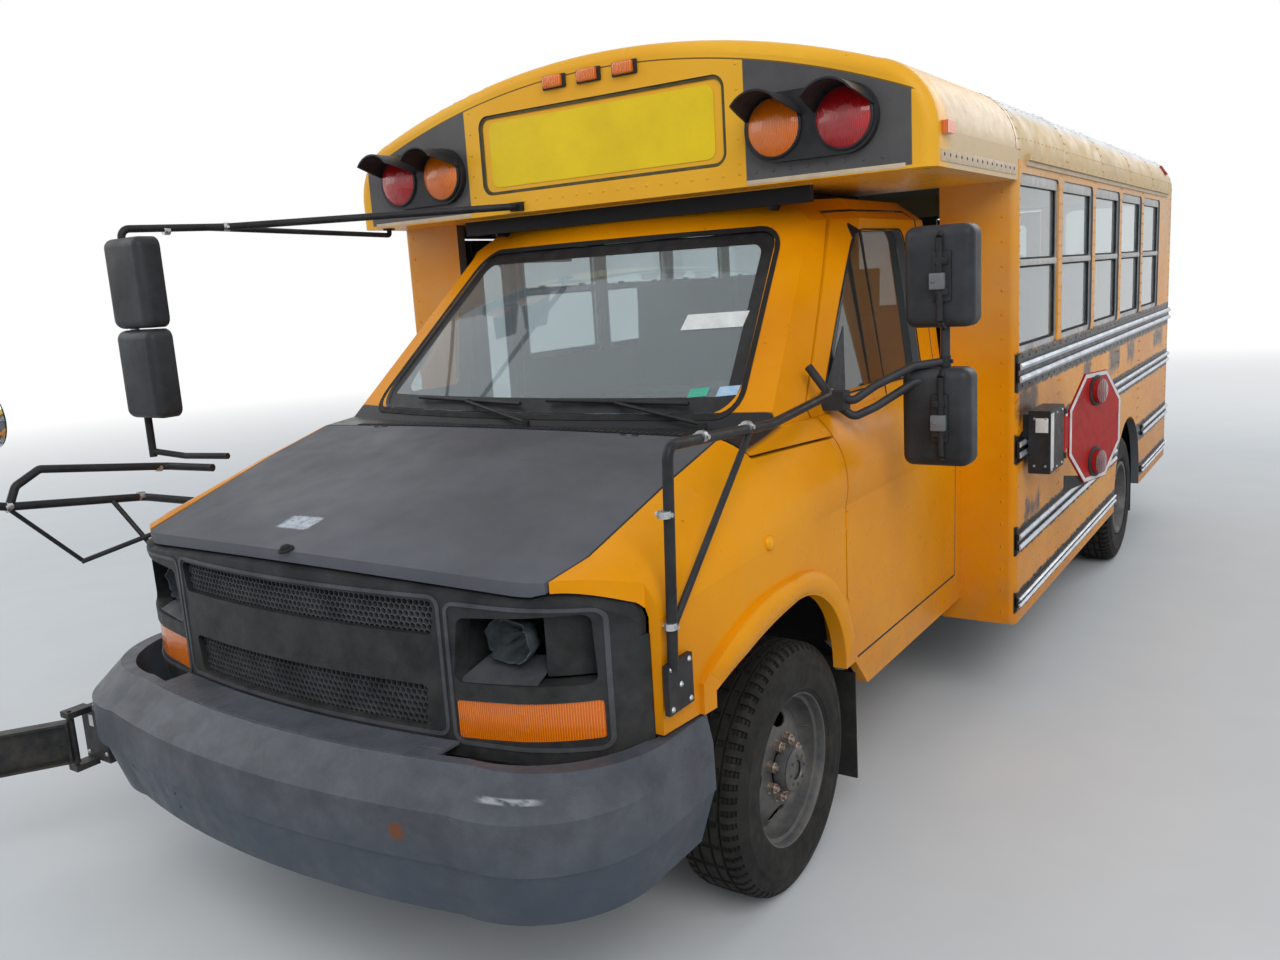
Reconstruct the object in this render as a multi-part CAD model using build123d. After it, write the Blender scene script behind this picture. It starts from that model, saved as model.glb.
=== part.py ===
from build123d import *
import math
import os

# Short school bus on a cutaway van chassis, in millimetres.
# +Z is up, the front of the bus faces -Y, and +X is the driver's side.
# The origin is on the ground, on the centreline, midway along the bus.

# Overall
BODY_HALF = 1219.0
ROOF_TOP_Z = 2590.0

# Wheels and axles
FRONT_AXLE_Y = -2200.0
WHEELBASE = 4039.0
REAR_AXLE_Y = FRONT_AXLE_Y + WHEELBASE
TYRE_R = 372.0
TYRE_W = 223.0
RIM_R = 203.0
RIM_LIP_R = 214.0
RIM_WALL = 9.0
FRONT_TYRE_X = 874.0
DUAL_OUTER_X = BODY_HALF - 142.0
DUAL_SPACING = 292.0
DUAL_INNER_X = DUAL_OUTER_X - DUAL_SPACING
KINGPIN_X = 742.0
KINGPIN_R = 17.0
SPINDLE_R = 28.0
AXLE_TUBE_R = 48.0
RUNNING_GAP = 0.05
SEAT_GAP = 0.3
SEAM = 3.0
HINGE_R = 6.0
HINGE_PIN_R = 3.0
HINGE_LEN = 60.0
HINGE_REACH = 20.0

# Bus body
LEFT_FRONT_Y = FRONT_AXLE_Y + 1502.0
RIGHT_FRONT_Y = FRONT_AXLE_Y + 800.0
REAR_OVERHANG = 1499.0
BODY_REAR_Y = REAR_AXLE_Y + REAR_OVERHANG
SKIRT_Z = 375.0
FLOOR_TOP_Z = 760.0
FLOOR_T = 60.0
WALL_T = 45.0
WALL_TOP_Z = ROOF_TOP_Z - 440.0
ROOF_ARC_R = 3086.0
ROOF_CORNER_X = BODY_HALF - 179.0
ROOF_CORNER_Z = ROOF_TOP_Z - 405.0
ROOF_T = 40.0
WINDOW_PITCH = 711.0
WINDOW_COUNT = 5
WINDOW_W = 640.0
WINDOW_BOTTOM_Z = 1440.0
WINDOW_TOP_Z = WALL_TOP_Z - 45.0
SASH_W = 24.0
SASH_RAIL_Z = (WINDOW_BOTTOM_Z + WINDOW_TOP_Z) / 2 + 5.5
GLASS_T = 6.0
ARCH_HALF = 440.0
ARCH_TOP_Z = 850.0
RAIL_PROUD = 20.0

# Front cap over the cab
CAP_FACE_Y = FRONT_AXLE_Y + 565.0
CAP_BOTTOM_Z = ROOF_TOP_Z - 514.0
CAP_EDGE_R = 42.0
CAP_T = 30.0
LAMP_R = 89.0
RED_LAMP_X = BODY_HALF - 269.0
AMBER_LAMP_X = RED_LAMP_X - 234.0
CAP_LAMP_Z = CAP_BOTTOM_Z + 167.0

# Cab
CAB_BASE_Z = 465.0
BELT_Z = 1362.0
CAB_ROOF_Z = CAP_BOTTOM_Z - 28.0
CAB_WALL = 30.0
DOOR_T = 62.0
DOOR_FRONT_Y = FRONT_AXLE_Y + 330.0
DOOR_REAR_Y = DOOR_FRONT_Y + 1085.0
DOOR_IN_X = 730.0
DOOR_HINGE = (1008.0, FRONT_AXLE_Y + 344.0)
DOOR_SWING_R = DOOR_REAR_Y - DOOR_HINGE[1] + 3.0
COWL_Y = FRONT_AXLE_Y - 75.0
HOOD_HINGE = (COWL_Y - 6.0, 1353.0)
HOOD_REAR_GAP = 10.0
PANEL_GAP = 8.0
DOOR_LOW_Z = 585.0
SILL_TOP_Z = DOOR_LOW_Z - PANEL_GAP
SILL_IN_X = 923.0
CAB_FLOOR_Z = 690.0
CAB_FLOOR_T = 40.0
FOOTWELL_HALF = 540.0
ARCH_LIP_PROUD = 14.0
LINER_T = 6.0
FLAP_Y = FRONT_AXLE_Y + 437.0
FLAP_T = 6.0

# Chassis
RAIL_X = 430.0
RAIL_W = 75.0
RAIL_Z0 = 470.0
RAIL_Z1 = 640.0
SHAFT_Z = 400.0
EXHAUST_X = 300.0
EXHAUST_Z = 370.0
RAIL_OUT_X = RAIL_X + RAIL_W / 2
RAIL_IN_X = RAIL_X - RAIL_W / 2
RAIL_WALL = 9.0
RAIL_WEB_X = RAIL_OUT_X - RAIL_WALL
ARM_LOW_Z0 = 268.0
ARM_LOW_Z1 = 298.0
ARM_UP_Z0 = 500.0
ARM_UP_Z1 = 526.0

# Front end
FASCIA_Y = FRONT_AXLE_Y - 940.0
FASCIA_TOP_Z = 1160.0
FASCIA_LOW_Z = 705.0
FASCIA_HALF = 950.0
FENDER_FRONT_Y = FRONT_AXLE_Y - 674.0
MESH_HALF_TOP = 495.0
MESH_HALF_LOW = 445.0
UPPER_MESH = (1003.0, 1088.0)
LOWER_MESH = (768.0, 876.0)
BEZEL_IN = 535.0
BEZEL_OUT = 868.0
TURN_Z0 = 752.0
TURN_Z1 = 858.0
BUMPER_FRONT_Y = FRONT_AXLE_Y - 1150.0
BUMPER_BACK_Y = FRONT_AXLE_Y - 505.0
BUMPER_TOP_Z = 745.0
BUMPER_CREASE_Z = 542.0
BUMPER_LOW_Z = 395.0
BUMPER_HALF = 1000.0
TOW_EYE_X = 300.0
TOW_EYE_R = 16.0
PLATE_HOLE_SPACING = 177.8
PLATE_HOLE_R = 3.5

# Doors, sign and wheel wells of the body
ENTRY_Y0 = RIGHT_FRONT_Y + 70.0
ENTRY_Y1 = LEFT_FRONT_Y - 5.0
ENTRY_TOP_Z = WALL_TOP_Z - 110.0
LEAF_T = 38.0
LEAF_GAP = 8.0
LEAF_MEET_GAP = 12.0
REAR_DOOR_HALF = 380.0
REAR_DOOR_TOP_Z = WALL_TOP_Z - 20.0
REAR_WALL_Z0 = RAIL_Z1 + 5.0
SIGN_HALF = AMBER_LAMP_X - 186.0
SIGN_BOTTOM_Z = CAP_BOTTOM_Z + 74.0
SIGN_TOP_Z = ROOF_TOP_Z - 150.0
WHEEL_WELL_X = 640.0

ENTRY_HINGE_ZS = (620.0, 1220.0, ENTRY_TOP_Z - 200.0)
REAR_HINGE_ZS = (900.0, 1340.0, REAR_DOOR_TOP_Z - 130.0)

# Wheel discs
HAND_HOLES = 4
NUTS = 8
NUT_CIRCLE_R = 82.5

# Lamps of the body
LAMP_HOOD_LEN = 140.0
PLINTH_T = 26.0

# Bench seats
SEAT_ROWS = 5
SEAT_PITCH = 700.0
SEAT_X = 640.0

# Mirrors
TUBE_R = 13.0
STAY_R = 11.0
HEAD_W = 210.0
HEAD_H = 300.0
EGG_R = 92.0
FAR_POST = (-1250.0, FRONT_AXLE_Y - 486.0)
FAR_HEAD_X = -1182.0
DOOR_POST = (1235.0, FRONT_AXLE_Y + 600.0)
DOOR_POST_R = 14.0

# Stop arm and crossing arm
STOP_HINGE = (BODY_HALF + 95.0, FRONT_AXLE_Y + 1850.0)
STOP_Z = 1085.0
STOP_ACROSS = 457.0
STOP_REST_ANGLE = 15.0
CROSS_HINGE = (-(BUMPER_HALF + 150.0), FRONT_AXLE_Y - 965.0)
CROSS_LEN = 368.0

NODES = {}


def box(x0, x1, y0, y1, z0, z1):
    """A block between two corners."""
    centre = Pos((x0 + x1) / 2, (y0 + y1) / 2, (z0 + z1) / 2)
    return centre * Box(abs(x1 - x0), abs(y1 - y0), abs(z1 - z0))


def along_x(points, x0, x1):
    """A side view outline of (y, z) points, extruded across the bus."""
    face = Plane.YZ.offset(x0) * make_face(Polyline(*points, close=True))
    return extrude(face, x1 - x0, dir=(1, 0, 0))


def along_y(points, y0, y1):
    """A front view outline of (x, z) points, extruded along the bus."""
    plane = Plane(origin=(0, y0, 0), x_dir=(1, 0, 0), z_dir=(0, -1, 0))
    return extrude(plane * make_face(Polyline(*points, close=True)), y1 - y0, dir=(0, 1, 0))


def along_z(points, z0, z1):
    """A plan outline of (x, y) points, extruded upwards."""
    face = Plane.XY.offset(z0) * make_face(Polyline(*points, close=True))
    return extrude(face, z1 - z0, dir=(0, 0, 1))


def rod_x(x0, x1, y, z, r):
    return Pos((x0 + x1) / 2, y, z) * (Rot(0, 90, 0) * Cylinder(r, abs(x1 - x0)))


def rod_y(y0, y1, x, z, r):
    return Pos(x, (y0 + y1) / 2, z) * (Rot(90, 0, 0) * Cylinder(r, abs(y1 - y0)))


def rod_z(z0, z1, x, y, r):
    return Pos(x, y, (z0 + z1) / 2) * Cylinder(r, abs(z1 - z0))


def tube(points, r, bend):
    """A round bar along straight runs with bends of one radius."""
    path = FilletPolyline(*points, radius=bend) if len(points) > 2 else Line(*points)
    start = Plane(origin=points[0], z_dir=Vector(*points[1]) - Vector(*points[0]))
    return sweep(start * Circle(r), path=path)


def both_sides(shape):
    return [shape, mirror(shape, Plane.YZ)]


def hinge(at, along="z", root="-y", side=-1):
    """Pin with its two ears for the fixed side, barrel for the moving side, and the pocket they need."""
    third = HINGE_LEN / 3
    z0 = -HINGE_LEN / 2
    z1 = HINGE_LEN / 2
    xa, xb = sorted((0.0, side * HINGE_R))
    fixed = rod_z(z0, z1, 0, 0, HINGE_PIN_R)
    for a, b in ((z0, z0 + third - SEAT_GAP), (z1 - third + SEAT_GAP, z1)):
        fixed += rod_z(a, b, 0, 0, HINGE_R) + box(xa, xb, -HINGE_REACH, 0, a, b)
    a, b = z0 + third, z1 - third
    moving = rod_z(a, b, 0, 0, HINGE_R) + box(xa, xb, 0, HINGE_REACH, a, b)
    moving -= rod_z(a - 1, b + 1, 0, 0, HINGE_PIN_R + RUNNING_GAP)
    room = HINGE_R + 1.5
    pocket = box(-room, room, -room, room, z0 - 1, z1 + 1)
    turns = {"-y": 0, "+y": 180, "-x": -90, "+x": 90}
    place = Pos(*at) * (Rot(0, 90, 0) if along == "x" else Rot(0, 0, 0)) * Rot(0, 0, turns[root])
    return place * fixed, place * moving, place * pocket


def node(name, *shapes):
    """Keeps the solids of one sub-part under its name."""
    solids = []
    for shape in shapes:
        for part in shape if isinstance(shape, (list, tuple)) else [shape]:
            solids += part.solids()
    NODES[name] = solids


def roof_outline(half, inset, bottom_z):
    """The closed cross-section of roof and upper walls, inset all round."""
    top = ROOF_TOP_Z - inset
    r = ROOF_ARC_R - inset
    cx = ROOF_CORNER_X - inset
    cz = top - r + math.sqrt(r * r - cx * cx)
    side = half - inset
    mid = (cx + (side - cx) * 0.72, cz - (cz - ROOF_CORNER_Z) * 0.36)
    edges = [
        Line((-side, bottom_z), (side, bottom_z)),
        Line((side, bottom_z), (side, ROOF_CORNER_Z)),
        ThreePointArc((side, ROOF_CORNER_Z), mid, (cx, cz)),
        ThreePointArc((cx, cz), (0, top), (-cx, cz)),
        ThreePointArc((-cx, cz), (-mid[0], mid[1]), (-side, ROOF_CORNER_Z)),
        Line((-side, ROOF_CORNER_Z), (-side, bottom_z)),
    ]
    return make_face(Curve() + edges)


def roof_block(half, inset, bottom_z, y0, y1):
    plane = Plane(origin=(0, y0, 0), x_dir=(1, 0, 0), z_dir=(0, -1, 0))
    return extrude(plane * roof_outline(half, inset, bottom_z), y1 - y0, dir=(0, 1, 0))


# Cab sections from the nose to the bulkhead
# y from the front axle, half width at base, at widest, widest z, half width and z of the
# shoulder, z on the centreline
CAB_STATIONS = [
    (-960.0, 848.0, 868.0, 980.0, 736.0, 1105.0, 1160.0),
    (-690.0, 965.0, 978.0, 1035.0, 792.0, 1170.0, 1232.0),
    (-330.0, 1000.0, 1006.0, 1075.0, 800.0, 1285.0, 1320.0),
    (-75.0, 1004.0, 1012.0, 1090.0, 815.0, 1352.0, 1362.0),
    (290.0, 1004.0, 1012.0, 1090.0, 935.0, 1361.0, 1362.0),
    (1502.0, 1004.0, 1012.0, 1090.0, 935.0, 1361.0, 1362.0),
]


def cab_section(station, inset):
    y, base, wide, wide_z, top_half, top_z, crown_z = station
    base -= inset
    wide -= inset
    top_half -= inset * 0.8
    top_z -= inset
    crown_z -= inset
    low = CAB_BASE_Z + (inset if inset else 0)
    bulge = (wide * 0.62 + top_half * 0.38 + 18.0, wide_z * 0.4 + top_z * 0.6 + 12.0)
    edges = [
        Line((-base, low), (base, low)),
        Line((base, low), (wide, wide_z)),
        ThreePointArc((wide, wide_z), bulge, (top_half, top_z)),
        ThreePointArc((top_half, top_z), (0, crown_z), (-top_half, top_z)),
        ThreePointArc((-top_half, top_z), (-bulge[0], bulge[1]), (-wide, wide_z)),
        Line((-wide, wide_z), (-base, low)),
    ]
    plane = Plane(origin=(0, FRONT_AXLE_Y + y, 0), x_dir=(1, 0, 0), z_dir=(0, -1, 0))
    return plane * make_face(Curve() + edges)


def cab_lower(inset=0.0):
    """The cab below the belt line, with hood and fenders."""
    return loft([cab_section(s, inset) for s in CAB_STATIONS], ruled=True)


# Plan outlines of the cab above the belt line
# z, front centre y, corner x, corner y, side x at the door's front, side x at the rear
GREENHOUSE = [
    (1335.0, -30.0, 880.0, 90.0, 938.0, 938.0),
    (CAB_ROOF_Z - 88.0, 655.0, 735.0, 745.0, 862.0, 862.0),
    (CAB_ROOF_Z - 12.0, 735.0, 640.0, 815.0, 760.0, 760.0),
]


def greenhouse_section(row, inset):
    z, front_y, corner_x, corner_y, side_front, side_rear = row
    front = FRONT_AXLE_Y + front_y + inset * 1.3
    corner = FRONT_AXLE_Y + corner_y + inset * 1.3
    rear = LEFT_FRONT_Y
    door = max(corner + 120.0, DOOR_FRONT_Y + 80.0)
    cx = corner_x - inset * 0.5
    sf = side_front - inset
    sr = side_rear - inset
    edges = [
        ThreePointArc((cx, corner), (0, front), (-cx, corner)),
        Line((-cx, corner), (-sf, door)),
        Line((-sf, door), (-sr, rear)),
        Line((-sr, rear), (sr, rear)),
        Line((sr, rear), (sf, door)),
        Line((sf, door), (cx, corner)),
    ]
    return Plane.XY.offset(z) * make_face(Curve() + edges)


def greenhouse(inset=0.0):
    rows = list(GREENHOUSE)
    if inset > 0:
        rows.insert(0, (rows[0][0] - 60.0,) + rows[0][1:])
    block = loft([greenhouse_section(r, inset) for r in rows], ruled=True)
    if inset > 0:
        block = block & box(-2000, 2000, -9000, 9000, 0, CAB_ROOF_Z - inset)
    return block


def window_cutter(y0, y1, z0, z1, x0, x1, corner=40.0):
    """A block with rounded corners that cuts a side window."""
    face = Rectangle(y1 - y0, z1 - z0)
    face = fillet(face.vertices(), corner)
    plane = Plane(origin=(x0, (y0 + y1) / 2, (z0 + z1) / 2), x_dir=(0, 1, 0), z_dir=(1, 0, 0))
    return extrude(plane * face, x1 - x0, dir=(1, 0, 0))


def window_ys():
    """Front and rear edge of each side window opening."""
    margin = (WINDOW_PITCH - WINDOW_W) / 2
    return [(LEFT_FRONT_Y + i * WINDOW_PITCH + margin, LEFT_FRONT_Y + (i + 1) * WINDOW_PITCH - margin)
            for i in range(WINDOW_COUNT)]


def rear_arch(x0, x1, grow=0.0):
    """The rear wheel opening, round over the top and open below."""
    r = ARCH_HALF - 20.0 + grow
    centre_z = ARCH_TOP_Z + grow - r
    below = box(x0, x1, REAR_AXLE_Y - r, REAR_AXLE_Y + r, 0, centre_z)
    return rod_x(x0, x1, REAR_AXLE_Y, centre_z, r) + below


# Body
def body_side(front_y, right):
    """One side wall with its front bulkhead, drawn on the driver's side."""
    top_split = CAP_BOTTOM_Z
    wall = box(BODY_HALF - WALL_T, BODY_HALF, front_y, BODY_REAR_Y, SKIRT_Z, WALL_TOP_Z)
    wall -= box(0, 2000, front_y - 1, LEFT_FRONT_Y, top_split, 3000)
    for y0, y1 in window_ys():
        wall -= window_cutter(y0, y1, WINDOW_BOTTOM_Z, WINDOW_TOP_Z, BODY_HALF - 2 * WALL_T, BODY_HALF + 20)
    wall -= rear_arch(BODY_HALF - 2 * WALL_T, BODY_HALF + 20)
    inner = 930.0 if not right else 905.0
    bulkhead = box(inner, BODY_HALF - WALL_T, front_y, front_y + WALL_T, SKIRT_Z, top_split)
    side = wall + bulkhead
    corner = side.edges().filter_by(Axis.Z).filter_by(
        lambda e: abs(e.center().X - BODY_HALF) < 1 and abs(e.center().Y - front_y) < 1)
    side = fillet(corner, 30.0)
    if right:
        side -= box(BODY_HALF - 2 * WALL_T, BODY_HALF + 20, ENTRY_Y0, ENTRY_Y1, SKIRT_Z - 20, ENTRY_TOP_Z)
    # the cab comes through the bulkhead with a small seam
    side -= cab_passage(front_y)
    return side


def cab_passage(front_y):
    """The space that the cab's skin needs where it runs through a bulkhead."""
    grown = [(y, b + SEAM, w + SEAM, wz, t + SEAM, tz + SEAM, c + SEAM)
             for y, b, w, wz, t, tz, c in CAB_STATIONS[-2:]]
    lower = loft([cab_section(s, 0.0) for s in grown], ruled=True)
    return lower + greenhouse_gap() + box(-880, 880, front_y - 50, front_y + 200, CAB_BASE_Z - 20, CAB_ROOF_Z)


def entry_hinges():
    """Hinges of the front and of the rear entrance leaf."""
    x = -(BODY_HALF - 2)
    front = [hinge((x, ENTRY_Y0 + LEAF_GAP, z), root="-y", side=1) for z in ENTRY_HINGE_ZS]
    rear = [hinge((x, ENTRY_Y1 - LEAF_GAP, z), root="+y", side=-1) for z in ENTRY_HINGE_ZS]
    return front, rear


def rear_door_hinges():
    x = -(REAR_DOOR_HALF - LEAF_GAP)
    return [hinge((x, BODY_REAR_Y + 2, z), root="-x", side=1) for z in REAR_HINGE_ZS]


def driver_door_hinges():
    return [hinge((*DOOR_HINGE, z), root="-y", side=-1) for z in (760.0, 1040.0)]


def hood_hinges():
    return [hinge((x, *HOOD_HINGE), along="x", root="+y", side=-1) for x in (-520.0, 520.0)]


def make_body():
    node("left_wall", body_side(LEFT_FRONT_Y, False))
    right = mirror(body_side(RIGHT_FRONT_Y, True), Plane.YZ)
    for hinge_parts in entry_hinges():
        for fixed, moving, pocket in hinge_parts:
            right = right - pocket + fixed
    node("right_wall", right)

    floor = box(-(BODY_HALF - WALL_T), BODY_HALF - WALL_T, LEFT_FRONT_Y + WALL_T, BODY_REAR_Y - WALL_T,
                FLOOR_TOP_Z - FLOOR_T, FLOOR_TOP_Z)
    well_in = WHEEL_WELL_X
    for s in (-1, 1):
        x0, x1 = sorted((s * well_in, s * (BODY_HALF - WALL_T)))
        y0 = REAR_AXLE_Y - ARCH_HALF
        y1 = REAR_AXLE_Y + ARCH_HALF
        floor += box(x0, x1, y0 - 20, y1 + 20, FLOOR_TOP_Z - FLOOR_T, ARCH_TOP_Z + 20)
        floor -= box(*sorted((s * (well_in + 20), s * (BODY_HALF - WALL_T + 1))), y0, y1, 0, ARCH_TOP_Z)
    step_x0 = -(BODY_HALF - WALL_T)
    steps = box(step_x0, -560, RIGHT_FRONT_Y + WALL_T, LEFT_FRONT_Y + WALL_T, SKIRT_Z, FLOOR_TOP_Z)
    steps -= box(step_x0, -880, RIGHT_FRONT_Y + WALL_T + 20, LEFT_FRONT_Y + WALL_T - 20, SKIRT_Z + 30, 900)
    steps -= box(-880, -720, RIGHT_FRONT_Y + WALL_T + 20, LEFT_FRONT_Y + WALL_T - 20, SKIRT_Z + 215, 900)
    steps -= box(-720, -559, RIGHT_FRONT_Y + WALL_T + 20, LEFT_FRONT_Y + WALL_T - 20, CAB_FLOOR_Z, 900)
    steps -= box(-900, -500, RIGHT_FRONT_Y, LEFT_FRONT_Y + 100, 0, SKIRT_Z + 185)
    steps -= box(-700, -500, RIGHT_FRONT_Y, LEFT_FRONT_Y + 100, 0, CAB_FLOOR_Z - 30)
    node("body_floor", floor + steps)

    roof = roof_block(BODY_HALF, 0, WALL_TOP_Z, LEFT_FRONT_Y, BODY_REAR_Y)
    roof -= roof_block(BODY_HALF, ROOF_T, WALL_TOP_Z - 50, LEFT_FRONT_Y - 1, BODY_REAR_Y - WALL_T)
    vent = box(-150, 150, LEFT_FRONT_Y + 280, LEFT_FRONT_Y + 560, ROOF_TOP_Z - 20, ROOF_TOP_Z + 62)
    vent = fillet(vent.edges().filter_by(Axis.Z), 60)
    vent = fillet(vent.faces().sort_by(Axis.Z)[-1].edges(), 18)
    drips = []
    for s in (-1, 1):
        x0, x1 = sorted((s * (BODY_HALF - 1), s * (BODY_HALF + 16)))
        drips.append(box(x0, x1, LEFT_FRONT_Y + 120, BODY_REAR_Y - 220, WALL_TOP_Z + 2, WALL_TOP_Z + 24))
    roof = roof + vent + drips
    node("roof", roof)

    cap = roof_block(BODY_HALF, 0, CAP_BOTTOM_Z, CAP_FACE_Y, LEFT_FRONT_Y)
    front_edges = cap.edges().filter_by(
        lambda e: abs(e.center().Y - CAP_FACE_Y) < 0.5 and e.center().Z > CAP_BOTTOM_Z + 5)
    cap = fillet(front_edges, CAP_EDGE_R)
    cap -= roof_block(BODY_HALF, CAP_T, CAP_BOTTOM_Z + CAP_T, CAP_FACE_Y + CAP_T, LEFT_FRONT_Y + 1)
    sign = Rectangle(2 * SIGN_HALF, SIGN_TOP_Z - SIGN_BOTTOM_Z)
    sign = fillet(sign.vertices(), 45)
    sign_z = (SIGN_TOP_Z + SIGN_BOTTOM_Z) / 2
    sign_plane = Plane(origin=(0, CAP_FACE_Y, sign_z), x_dir=(1, 0, 0), z_dir=(0, -1, 0))
    cap -= extrude(sign_plane * sign, 10, dir=(0, 1, 0))
    band_y = FRONT_AXLE_Y + 700.0
    cap += box(-760, 760, band_y, band_y + 25, CAB_ROOF_Z - 30, CAP_BOTTOM_Z + 2)
    cap -= box(-900, 900, band_y - 5, LEFT_FRONT_Y, CAB_BASE_Z, CAB_ROOF_Z + 2) & greenhouse_gap()
    node("front_cap", cap)

    rear = box(-(BODY_HALF - WALL_T), BODY_HALF - WALL_T, BODY_REAR_Y - WALL_T, BODY_REAR_Y, REAR_WALL_Z0,
               WALL_TOP_Z)
    door_hole = box(-REAR_DOOR_HALF, REAR_DOOR_HALF, BODY_REAR_Y - 200, BODY_REAR_Y + 50, FLOOR_TOP_Z,
                    REAR_DOOR_TOP_Z)
    rear = rear - door_hole
    for s in (-1, 1):
        face = Rectangle(480, WINDOW_TOP_Z - 1500)
        face = fillet(face.vertices(), 50)
        plane = Plane(origin=(s * 780, BODY_REAR_Y - 100, (WINDOW_TOP_Z + 1500) / 2), x_dir=(1, 0, 0),
                      z_dir=(0, -1, 0))
        rear -= extrude(plane * face, 200, dir=(0, 1, 0))
    for fixed, moving, pocket in rear_door_hinges():
        rear = rear - pocket + fixed
    node("rear_wall", rear)


def greenhouse_gap():
    """The cab's upper part with a seam's width added round it."""
    rows = [(z, fy, cx + SEAM, cy, sf + SEAM, sr + SEAM) for z, fy, cx, cy, sf, sr in GREENHOUSE]
    rows[-1] = (GREENHOUSE[-1][0] + SEAM,) + rows[-1][1:]
    return loft([greenhouse_section(r, 0.0) for r in rows], ruled=True)


def make_windows():
    sashes = []
    panes = []
    for side in (-1, 1):
        for y0, y1 in window_ys():
            x_out = BODY_HALF - 8.0
            x_in = BODY_HALF - 36.0
            g = 0.3
            frame = window_cutter(y0 + g, y1 - g, WINDOW_BOTTOM_Z + g, WINDOW_TOP_Z - g, x_in, x_out)
            for z0, z1 in ((WINDOW_BOTTOM_Z + SASH_W, SASH_RAIL_Z - SASH_W / 2),
                           (SASH_RAIL_Z + SASH_W / 2, WINDOW_TOP_Z - SASH_W)):
                frame -= window_cutter(y0 + SASH_W, y1 - SASH_W, z0, z1, x_in - 1, x_out + 1, 22)
                pane = window_cutter(y0 + SASH_W, y1 - SASH_W, z0, z1, x_in + 11, x_in + 11 + GLASS_T, 22)
                panes.append(pane if side > 0 else mirror(pane, Plane.YZ))
            sashes.append(frame if side > 0 else mirror(frame, Plane.YZ))
    for s in (-1, 1):
        face = Rectangle(480, WINDOW_TOP_Z - 1500)
        face = fillet(face.vertices(), 50)
        plane = Plane(origin=(s * 780, BODY_REAR_Y - 30, (WINDOW_TOP_Z + 1500) / 2), x_dir=(1, 0, 0),
                      z_dir=(0, -1, 0))
        panes.append(extrude(plane * face, GLASS_T, dir=(0, 1, 0)))
    node("window_sashes", sashes)
    node("side_glass", panes)


# z of the bottom and top of each rub rail
RUB_RAILS = [(1330.0, 1406.0, False), (1040.0, 1106.0, False), (674.0, 741.0, True), (442.0, 483.0, True)]


def rail_profile(z0, z1):
    """A rail with a rounded ridge along its top and bottom edge."""
    x = BODY_HALF
    ridge = (z1 - z0) * 0.34
    return [
        (x, z0), (x + RAIL_PROUD * 0.7, z0 + 2), (x + RAIL_PROUD, z0 + ridge * 0.5),
        (x + RAIL_PROUD * 0.7, z0 + ridge), (x + 5, z0 + ridge + 3), (x + 5, z1 - ridge - 3),
        (x + RAIL_PROUD * 0.7, z1 - ridge), (x + RAIL_PROUD, z1 - ridge * 0.5),
        (x + RAIL_PROUD * 0.7, z1 - 2), (x, z1),
    ]


def make_rails():
    rails = []
    gap = ARCH_HALF + 12.0
    for z0, z1, split in RUB_RAILS:
        spans = [(LEFT_FRONT_Y + 10, BODY_REAR_Y - 4)]
        if split:
            spans = [(LEFT_FRONT_Y + 10, REAR_AXLE_Y - gap), (REAR_AXLE_Y + gap, BODY_REAR_Y - 4)]
        for y0, y1 in spans:
            rails += both_sides(along_y(rail_profile(z0, z1), y0, y1))
    node("rub_rails", rails)


# Cab
DOOR_OUTLINE = [
    (15.0, DOOR_LOW_Z), (5.0, 1250.0), (-15.0, 1395.0), (435.0, CAB_ROOF_Z - 123.0), (490.0, CAB_ROOF_Z - 63.0),
    (DOOR_REAR_Y - DOOR_FRONT_Y, CAB_ROOF_Z - 56.0), (DOOR_REAR_Y - DOOR_FRONT_Y, DOOR_LOW_Z),
]
DOOR_WINDOW = [(75.0, 1412.0), (500.0, CAB_ROOF_Z - 130.0), (930.0, CAB_ROOF_Z - 126.0), (940.0, 1400.0)]


def door_prism(grow=0.0, x0=DOOR_IN_X, x1=1100.0):
    pts = [(DOOR_FRONT_Y + y, z) for y, z in DOOR_OUTLINE]
    face = make_face(Polyline(*pts, close=True))
    if grow:
        face = offset(face, grow, kind=Kind.INTERSECTION)
    return extrude(Plane.YZ.offset(x0) * face, x1 - x0, dir=(1, 0, 0))


HOOD_OUTLINE = [(-738.0, -975.0), (738.0, -975.0), (796.0, -690.0), (804.0, -330.0), (806.0, -75.0),
                (-806.0, -75.0), (-804.0, -330.0), (-796.0, -690.0)]


def hood_prism(grow, z0=1020.0, z1=1500.0):
    pts = [(x + math.copysign(grow, x), FRONT_AXLE_Y + y + (grow if y > -100 else 0))
           for x, y in HOOD_OUTLINE]
    return along_z(pts, z0, z1)


# Front wheel opening, as (y, z) from the axle: rear foot, arcs over the top, front end
ARCH_OPENING = [(291.0, 550.0), (291.0, 568.0), (205.0, 800.0), (-40.0, 903.0), (-260.0, 868.0),
                (-478.0, 797.0), (-478.0, 550.0)]
ARCH_LIP = [(381.0, 550.0), (381.0, 568.0), (278.0, 835.0), (-60.0, 967.0), (-300.0, 946.0), (-530.0, 832.0),
            (-530.0, 550.0)]
LINER = [(360.0, 560.0), (360.0, 640.0), (280.0, 830.0), (-60.0, 957.0), (-330.0, 925.0), (-489.0, 790.0),
         (-489.0, 500.0)]


def arch_prism(outline, x0, x1, grow=0.0):
    """A block with a wheel opening's outline in side view."""
    rear, foot, rear_mid, top, front_mid, front, low = [(FRONT_AXLE_Y + y, z) for y, z in outline]
    edges = [
        Line(low, rear),
        Line(rear, foot),
        ThreePointArc(foot, rear_mid, top),
        ThreePointArc(top, front_mid, front),
        Line(front, low),
    ]
    face = make_face(Curve() + edges)
    if grow:
        face = offset(face, grow, kind=Kind.INTERSECTION)
    return extrude(Plane.YZ.offset(x0) * face, x1 - x0, dir=(1, 0, 0))


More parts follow.
